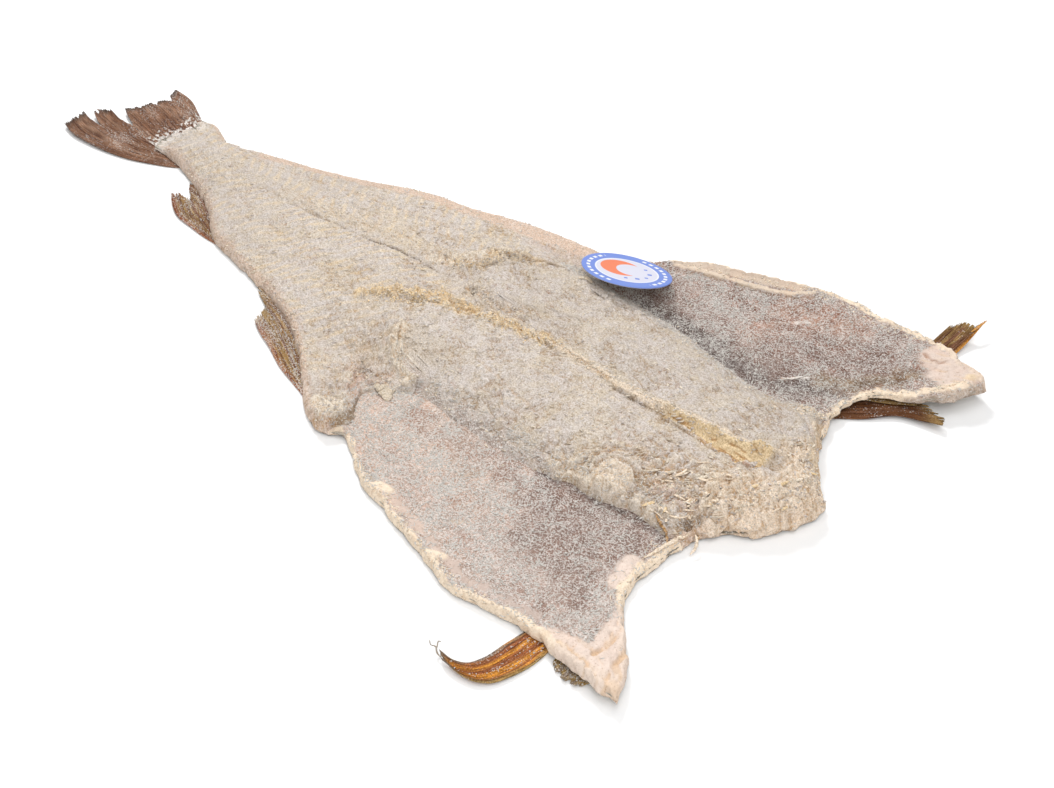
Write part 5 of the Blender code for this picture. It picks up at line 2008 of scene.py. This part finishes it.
@dataclass
class SaltGrains:
    """Loose salt on the fish: small blocks of crystal, joined as one piece."""

    name: str
    grids: Sequence[Grid]
    weights: Sequence[Grid]
    ground: Ground
    count: int
    size: tuple[float, float]
    slot: str = "flesh_and_skin"
    seed: int = 9

    def build(self, finish: bpy.types.Material) -> bpy.types.Object:
        """Drops the grains where the salt is densest, each turned its own way.

        Args:
            finish: Their material.

        Returns:
            The object.
        """
        rng = np.random.default_rng(self.seed)
        points = np.concatenate([grid.reshape(-1, 3) for grid in self.grids])
        pairs = zip(self.weights, self.grids)
        weight = np.concatenate([np.broadcast_to(w, grid.shape[:2]).ravel() for w, grid in pairs])
        seen = points[:, 2] > self.ground.at(points[:, 0], points[:, 1]) - 0.5
        chance = np.clip(weight, 0.0, None) ** 2 * seen
        chosen = points[rng.choice(len(points), self.count, p=chance / chance.sum())]
        size = rng.uniform(*self.size, (self.count, 1, 1)) * rng.uniform(0.6, 1.0, (self.count, 1, 3))
        corners = np.array([(i, j, k) for i in (-1, 1) for j in (-1, 1) for k in (-1, 1)]) * 0.5
        local = corners[None] * size
        turns = rng.normal(size=(self.count, 3, 3))
        first = unit(turns[:, 0])
        second = unit(turns[:, 1] - (turns[:, 1] * first).sum(axis=1, keepdims=True) * first)
        frame = np.stack([first, second, np.cross(first, second)], axis=1)
        jitter = np.concatenate([rng.uniform(-0.5, 0.5, (self.count, 2)), np.zeros((self.count, 1))], axis=1)
        middle = chosen + jitter + [0.0, 0.0, 1.0] * size[:, 0, :1] * 0.3
        vertices = np.einsum("nck,nkl->ncl", local, frame) + middle[:, None]
        sides = np.array([(0, 1, 3, 2), (4, 6, 7, 5), (0, 4, 5, 1), (2, 3, 7, 6), (0, 2, 6, 4), (1, 5, 7, 3)])
        faces = (np.arange(self.count)[:, None, None] * 8 + sides[None]).reshape(-1, 4).tolist()
        item = piece(self.name, vertices.reshape(-1, 3), faces, finish, self.slot)
        item.data.shade_flat()
        return item


# ---------------------------------------------------------------- tag


@dataclass
class Tag:
    """The round card tag, slightly bent, printed on its face."""

    middle: tuple[float, float, float] = (116.6, 84.0, 19.2)
    faces: tuple[float, float, float] = (-0.04, 0.29, 0.955)
    diameter: float = 62.0
    thickness: float = 0.8
    bend: float = 0.7
    sides: int = 120
    rings: int = 14

    def build(self, finish: bpy.types.Material) -> bpy.types.Object:
        """Turns a flat profile with a rounded edge round the card's middle, and bends it.

        The profile is the front face, a half circle round the edge, and the back face. The bend adds
        the square of the way across the card. The card is then tilted to its own direction.

        Args:
            finish: The printed card.

        Returns:
            The object.
        """
        radius, half = self.diameter / 2, self.thickness / 2
        inner = np.linspace(0.0, radius - half, self.rings + 1)[1:]
        angle = np.linspace(0.0, math.pi, 7)[1:-1]
        r = np.concatenate([inner, radius - half + half * np.sin(angle), inner[::-1]])
        h = np.concatenate([np.full(self.rings, half), half * np.cos(angle), np.full(self.rings, -half)])
        turn = np.arange(self.sides) * 2 * math.pi / self.sides
        x, y = r[:, None] * np.cos(turn), r[:, None] * np.sin(turn)
        flat = np.stack([x, y, np.broadcast_to(h[:, None], x.shape)], axis=2).reshape(-1, 3)
        flat = np.concatenate([flat, [[0, 0, half], [0, 0, -half]]])
        uv = flat[:, :2] / radius
        flat[:, 2] += self.bend * (uv[:, 0] ** 2 - 0.4)
        index = np.arange(len(r) * self.sides).reshape(len(r), self.sides)
        turned = np.roll(index, -1, axis=1)
        skin = np.stack([index[:-1], index[1:], turned[1:], turned[:-1]], axis=-1).reshape(-1, 4).tolist()
        poles = len(flat) - 2
        skin += [[poles, a, b] for a, b in zip(index[0].tolist(), turned[0].tolist())]
        skin += [[poles + 1, b, a] for a, b in zip(index[-1].tolist(), turned[-1].tolist())]
        frame = Vector((0.0, 0.0, 1.0)).rotation_difference(Vector(self.faces)).to_matrix()
        points = flat @ np.array(frame).T + self.middle
        item = piece("tag_card", points, skin, finish, "tag_card", "tag")
        mesh = item.data
        corners = np.zeros(len(mesh.loops), np.int32)
        mesh.loops.foreach_get("vertex_index", corners)
        flat_uv = (0.5 + 0.5 * uv[corners]).astype(np.float32).ravel()
        mesh.uv_layers.new(name="print").data.foreach_set("uv", flat_uv)
        front = (np.concatenate([np.repeat(h, self.sides), [half, -half]]) > 0).astype(np.float32)
        mesh.attributes.new("front", "FLOAT", "POINT").data.foreach_set("value", front)
        return item


@dataclass(frozen=True)
class PrintedCard:
    """Card printed with a blue ring of dashes, an orange crescent and small blue lozenges."""

    blue: tuple[float, float, float] = (0.155, 0.245, 0.640)
    pale: tuple[float, float, float] = (0.640, 0.640, 0.740)
    white: tuple[float, float, float] = (0.800, 0.800, 0.820)
    orange: tuple[float, float, float] = (0.780, 0.200, 0.090)
    ring: float = 0.68
    dashes: float = 30.0
    lozenges: Sequence[tuple[float, float, float]] = (
        (0.16, 0.46, 0.06), (0.40, 0.30, 0.075), (0.50, 0.06, 0.06), (0.44, -0.18, 0.075),
        (0.28, -0.38, 0.06),
    )

    def make(self) -> bpy.types.Material:
        """Draws the print from the card's own flat coordinates, -1 to 1 across the card.

        Returns:
            The material.
        """
        shader = Shader("printed card", 0.45, 0.4)
        uv = shader.add("ShaderNodeUVMap", uv_map="print").outputs[0]
        split = shader.add("ShaderNodeSeparateXYZ", {0: uv})
        x, y = (shader.math("MULTIPLY_ADD", split.outputs[k], 2.0, -1.0) for k in range(2))

        def radius(cx: float, cy: float) -> bpy.types.NodeSocket:
            """Distance from a point of the card."""
            dx, dy = shader.math("SUBTRACT", x, cx), shader.math("SUBTRACT", y, cy)
            squares = shader.math("MULTIPLY_ADD", dx, dx, shader.math("MULTIPLY", dy, dy))
            return shader.math("SQRT", squares)

        def inside(value: bpy.types.NodeSocket, limit: float) -> bpy.types.NodeSocket:
            """1 where the value is below a limit."""
            return shader.step(value, limit, limit - 0.012)

        middle = radius(0.0, 0.0)
        colour = shader.blend(inside(middle, self.ring + 0.03), (*self.blue, 1.0), (*self.white, 1.0))
        colour = shader.blend(inside(middle, self.ring), colour, (*self.pale, 1.0))
        turn = shader.math("MULTIPLY", shader.math("ARCTAN2", y, x), self.dashes / (2 * math.pi))
        part = shader.math("ABSOLUTE", shader.math("SUBTRACT", shader.math("FRACT", turn), 0.5))
        gaps = shader.math("SINE", shader.math("MULTIPLY", turn, 0.42))
        dash = shader.math("MULTIPLY", shader.step(part, 0.33, 0.25), shader.step(gaps, -0.55, -0.45))
        band = inside(shader.math("ABSOLUTE", shader.math("SUBTRACT", middle, 0.85)), 0.045)
        colour = shader.blend(shader.math("MULTIPLY", dash, band), colour, (*self.white, 1.0))
        crescent = shader.math("SUBTRACT", inside(radius(-0.17, 0.0), 0.46), inside(radius(0.03, 0.12), 0.34))
        colour = shader.blend(shader.math("MAXIMUM", crescent, 0.0), colour, (*self.orange, 1.0))
        for cx, cy, size in self.lozenges:
            dx = shader.math("ABSOLUTE", shader.math("SUBTRACT", x, cx))
            dy = shader.math("ABSOLUTE", shader.math("SUBTRACT", y, cy))
            colour = shader.blend(inside(shader.math("ADD", dx, dy), size), colour, (*self.blue, 1.0))
        card = shader.blend(shader.attribute("front"), (*self.white, 1.0), colour)
        shader.colour(card)
        return shader.material


# ---------------------------------------------------------------- studio


@dataclass
class Studio:
    """A plain pale floor, soft light from above and behind, and the camera."""

    camera_place: tuple[float, float, float] = (0.6232, -0.51625, 0.5448)
    azimuth: float = 44.30
    elevation: float = 39.0
    lens: float = 47.82
    sensor: float = 36.0
    floor_reach: float = 4.0

    def camera(self) -> None:
        """Looks down on the fish from the near side, in front of the neck."""
        data = bpy.data.cameras.new("camera")
        data.lens, data.sensor_width = self.lens, self.sensor
        data.clip_start, data.clip_end = 0.01, 50.0
        item = bpy.data.objects.new("camera", data)
        item.location = self.camera_place
        item.rotation_euler = (math.radians(90.0 - self.elevation), 0.0, math.radians(self.azimuth))
        bpy.context.scene.collection.objects.link(item)
        bpy.context.scene.camera = item

    def floor(self) -> None:
        """A wide flat floor, almost white."""
        mesh = bpy.data.meshes.new("floor")
        r = self.floor_reach
        mesh.from_pydata([(-r, -r, 0), (r, -r, 0), (r, r, 0), (-r, r, 0)], [], [(0, 1, 2, 3)])
        shader = Shader("floor", 0.9, 0.0)
        shader.surface.inputs["Base Color"].default_value = (0.93, 0.93, 0.93, 1.0)
        mesh.materials.append(shader.material)
        item = bpy.data.objects.new("floor", mesh)
        bpy.context.scene.collection.objects.link(item)

    def light(self, name: str, place: tuple[float, float, float], size: float, power: float) -> None:
        """A square area light that faces the middle of the fish.

        Args:
            name: The light's name.
            place: Where it hangs, in metres.
            size: Side of the square, in metres.
            power: In watts.
        """
        data = bpy.data.lights.new(name, "AREA")
        data.size, data.energy = size, power
        item = bpy.data.objects.new(name, data)
        item.location = place
        item.rotation_euler = (-Vector(place)).to_track_quat("-Z", "Y").to_euler()
        bpy.context.scene.collection.objects.link(item)

    def build(self) -> None:
        """Sets the whole studio up."""
        self.camera()
        self.floor()
        self.light("key", (-1.20, 0.80, 1.60), 0.4, 26.5)
        self.light("fill", (0.95, -0.75, 1.20), 0.8, 10.0)
        self.light("top", (0.3, 0.0, 1.8), 1.2, 9.5)
        world = bpy.data.worlds.new("studio")
        world.use_nodes = True
        world.node_tree.nodes["Background"].inputs["Color"].default_value = (1.0, 1.0, 1.0, 1.0)
        world.node_tree.nodes["Background"].inputs["Strength"].default_value = 0.43
        bpy.context.scene.world = world
        bpy.context.scene.view_settings.view_transform = "Standard"


FRINGE = ((2.0, 5.0), (0.16, 0.32))
THREAD = ((4.0, 11.0), (0.5, 1.3))
CRUMB = ((0.8, 2.4), (0.35, 0.85))

TUFTS = [
    Tuft([(10, -52), (30, -38), (50, -28)], 8.0, 160, -0.5, 0.9, *FRINGE, (Tone.YELLOW, Tone.PALE)),
    Tuft([(50, -26), (75, -24), (110, -19), (142, -13)], 4.5, 200, -0.25, 0.8, *FRINGE,
         (Tone.PALE, Tone.YELLOW)),
    Tuft([(34, 8), (46, 20), (46, 33), (58, 48)], 4.0, 110, 0.3, 1.0, *FRINGE, (Tone.PALE, Tone.FLESH)),
    Tuft([(58, -8), (80, -4), (106, -3)], 8.0, 140, 0.4, 1.2, *FRINGE, (Tone.FLESH, Tone.PALE)),
    Tuft([(150, -11), (200, -14), (240, -13), (275, -10), (297, -3)], 2.0, 90, 0.1, 0.3, *FRINGE,
         (Tone.PALE, Tone.RIM)),
    Tuft([(222, -79), (223, -70), (234, -60), (255, -55)], 5.0, 90, 0.6, 0.7, *FRINGE,
         (Tone.PALE, Tone.FLESH)),
    Tuft([(253, -64), (267, -52), (285, -42)], 9.0, 24, 0.7, 0.4, *THREAD, (Tone.PALE, Tone.RIM)),
    Tuft([(268, -72), (285, -66), (298, -52)], 7.0, 26, 0.5, 0.8, *THREAD,
         (Tone.PALE, Tone.RIM, Tone.YELLOW)),
    Tuft([(300, -50), (318, -34), (330, -14), (326, 4), (312, 22)], 14.0, 26, 1.2, 0.6, *THREAD,
         (Tone.PALE, Tone.RIM, Tone.YELLOW)),
    Tuft([(288, 40), (294, 62), (290, 80)], 5.0, 110, 1.3, 0.7, *FRINGE, (Tone.PALE, Tone.RIM)),
    Tuft([(56, -98), (76, -100), (92, -96)], 5.0, 90, 0.3, 1.2, *FRINGE, (Tone.FLESH, Tone.PALE)),
    Tuft([(96, 52), (120, 50), (132, 56)], 4.0, 60, 0.4, 0.9, *FRINGE, (Tone.FLESH, Tone.PALE)),
    Tuft([(110, 68), (150, 66), (200, 60), (250, 52)], 7.0, 160, 0.2, 0.9, *FRINGE,
         (Tone.SALT, Tone.FLESH)),
    Tuft([(110, -88), (160, -88), (210, -84)], 7.0, 160, -0.1, 0.9, *FRINGE, (Tone.SALT, Tone.FLESH)),
    Tuft([(286, -86), (294, -104), (296, -128), (306, -140)], 4.0, 70, 1.4, 0.5, *FRINGE,
         (Tone.PALE, Tone.RIM)),
]

CRUMBS = [
    Tuft([(298, -54), (318, -34), (332, -14), (328, 6), (312, 24)], 15.0, 520, 0.9, 1.2, *CRUMB,
         (Tone.PALE, Tone.RIM, Tone.FLESH)),
    Tuft([(256, -64), (276, -58), (298, -58)], 9.0, 220, 0.6, 1.0, *CRUMB,
         (Tone.PALE, Tone.RIM, Tone.FLESH)),
    Tuft([(14, -50), (36, -38), (58, -27)], 8.0, 190, -0.4, 1.0, *CRUMB, (Tone.YELLOW, Tone.PALE)),
    Tuft([(60, -25), (100, -20), (145, -12)], 4.5, 160, -0.2, 1.0, *CRUMB, (Tone.YELLOW, Tone.PALE)),
    Tuft([(56, -8), (84, -2), (110, -4)], 9.0, 130, 0.5, 1.2, *CRUMB, (Tone.FLESH, Tone.PALE)),
    Tuft([(30, 4), (46, 20), (46, 34), (60, 50)], 4.0, 110, 0.5, 1.2, *CRUMB, (Tone.PALE, Tone.FLESH)),
    Tuft([(150, -12), (200, -15), (245, -13), (296, -4)], 2.4, 170, 0.1, 0.6, *CRUMB,
         (Tone.PALE, Tone.RIM)),
    Tuft([(286, 40), (293, 68), (300, 98), (318, 112), (340, 138)], 3.4, 170, 1.0, 0.8, *CRUMB,
         (Tone.RIM, Tone.PALE)),
    Tuft([(52, -100), (76, -98), (94, -100)], 5.0, 110, 0.2, 1.2, *CRUMB, (Tone.FLESH, Tone.PALE)),
    Tuft([(66, -122), (72, -140), (84, -150)], 6.0, 90, 0.2, 1.2, *CRUMB, (Tone.PALE, Tone.FLESH)),
    Tuft([(96, -150), (150, -166), (210, -181), (280, -181)], 3.6, 260, -0.2, 1.0, *CRUMB,
         (Tone.RIM, Tone.PALE)),
    Tuft([(120, 128), (156, 138), (210, 164), (290, 164)], 3.0, 150, 0.2, 0.8, *CRUMB,
         (Tone.RIM, Tone.PALE)),
    Tuft([(-270, -26), (-200, -38), (-130, -70), (-30, -92), (40, -128)], 3.0, 160, -0.4, 0.6, *CRUMB,
         (Tone.PALE, Tone.PINK)),
    Tuft([(-200, 0), (-100, 20), (0, 0), (40, -60), (150, -50), (200, 30), (120, 40)], 60.0, 420, 0.3, 1.2,
         *CRUMB, (Tone.FLESH, Tone.PALE)),
]

STRANDS = [
    Strand("orange_strand", [(276, -74, 0.3), (281, -77, 0.9), (289, -80, 0.7), (293, -84, 0.2)], 0.9, 0.6,
           Tone.OCHRE),
    Strand("neck_strand", [(291, -101, 0.3), (293, -90, 0.9), (295, -80, 1.0), (298, -71, 0.2)], 1.1, 0.8,
           Tone.RIM),
    Strand("hanging_strand", [(300, -69, 7.5), (303, -71, 6.5), (305, -75, 4.2), (305, -79, 2.6)], 0.9, 0.7,
           Tone.RIM, on_floor=True),
    Strand("scrap_under_tag", [(113, 52, 0.2), (118, 53.5, 0.9), (124, 53, 0.9), (128, 50, 0.2)], 2.6, 0.8,
           Tone.FLESH),
    Strand("scrap_by_tag", [(100, 54, 0.0), (105, 57, 0.7), (110, 57, 0.5)], 1.8, 0.8, Tone.CREAM),
    Strand("scrap_at_vent", [(76, -105, 0.2), (82, -103, 1.0), (88, -105, 0.8), (92, -108, 0.2)], 4.2, 1.1,
           Tone.CREAM),
    Strand("scrap_on_far_flap", [(251, 78, 0.2), (255, 81, 0.6), (260, 88, 0.3)], 0.9, 0.5, Tone.SALT),
    Strand("pectoral_wisp", [(262, -221.5, 2.6), (258, -221, 3.2), (255, -219.5, 4.4), (253.5, -221, 5.6),
           (251.5, -220, 7.2)], 0.45, 0.3, Tone.FIN_GREY, "pectoral_fins", True),
    Strand("pectoral_wisp_curl", [(257, -220.5, 3.3), (255.5, -218.5, 4.6), (254.5, -216.5, 5.4),
           (256, -215.8, 5.2)], 0.35, 0.25, Tone.FIN_GREY, "pectoral_fins", True),
    Strand("pectoral_spike", [(311.5, 198, 8.6), (312.6, 206, 9.6), (313.3, 214, 10.2)], 0.8, 0.45,
           Tone.FIN_AMBER, "pectoral_fins", True),
    Strand("tail_spike", [(-356, -24.5, 3.6), (-361, -23.6, 3.7), (-365, -23, 3.8)], 0.8, 0.35,
           Tone.FIN_BROWN, "tail_fin", True),
]


def main() -> None:
    """Builds the fish and the studio."""
    logging.basicConfig(level=logging.INFO, format="%(message)s")
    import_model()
    Studio().build()
    flesh = DriedFlesh("dried flesh").make()
    membrane = DriedFlesh("belly membrane", grain_size=1.1, salt_size=0.9, pits=0.6, threads=0.85,
                          depth=0.5).make()
    skin = DriedFlesh("salted skin", grain=0.2, depth=0.25, roughness=0.6, specular=0.4).make()
    fin_skin = DriedFlesh("fin skin", grain=0.35, grain_size=0.8, salt_size=0.9, pits=0.4, threads=0.0,
                          depth=0.3, roughness=0.65, specular=0.15).make()
    salt_finish = SaltCrystal().make()
    layers = [layer.build(finish) for layer, finish in (
        (TailStock(), flesh), (TailHalf(), flesh), (NearLoin(), flesh), (FarLoin(), flesh),
        (NearFlap(), membrane), (FarFlap(), membrane),
    )]
    Skin().build(skin)
    fins = [fin.build(fin_skin) for fin in FINS]
    for fin in dorsal_fins():
        fin.build(fin_skin)
    Tag().build(PrintedCard().make())
    ground = Ground.of([grid for _, grid, _ in layers])
    LooseFibres("loose_fibres", TUFTS, ground).build(flesh)
    LooseFibres("flesh_crumbs", CRUMBS, ground, seed=6, points_each=6, flatness=0.75, rise=0.0,
                sunk=0.1).build(flesh)
    for strand in STRANDS:
        strand.build(ground, flesh)
    grids, salts = [g for _, g, _ in layers], [s for _, _, s in layers]
    fuzz = [tuft for k, (grid, n) in enumerate(zip(grids[:4], (200, 700, 400, 400)))
            for tuft in Tuft.over(grid, np.ones(grid.shape[:2]), n, 0.7, (1.5, 4.5), (0.35, 0.9),
                                  (Tone.PALE, Tone.LILAC, Tone.CREAM), 20 + k)]
    LooseFibres("flesh_fuzz", fuzz, ground, seed=7, points_each=4, rise=0.06, sunk=0.12).build(flesh)
    threads = [tuft for k, (grid, salt, n) in enumerate(zip(grids[4:], salts[4:], (3400, 2900)))
               for tuft in Tuft.over(grid, salt**2, n, 1.0, (1.6, 5.0), (0.26, 0.48), (Tone.SALT,), 30 + k)]
    LooseFibres("salt_threads", threads, ground, seed=8, points_each=3, rise=0.05,
                sunk=0.10).build(salt_finish)
    SaltGrains("salt_on_flesh", grids[:4], salts[:4], ground, 4500, (0.35, 0.8)).build(salt_finish)
    SaltGrains("salt_on_flaps", grids[4:], salts[4:], ground, 4000, (0.35, 1.05), seed=10).build(salt_finish)
    blades, blade_salts = [g for _, g, _ in fins], [s for _, _, s in fins]
    SaltGrains("salt_on_fins", blades, blade_salts, Ground.of(blades), 1500, (0.35, 0.8), "tail_fin",
               seed=12).build(salt_finish)


if __name__ == "__main__":
    main()
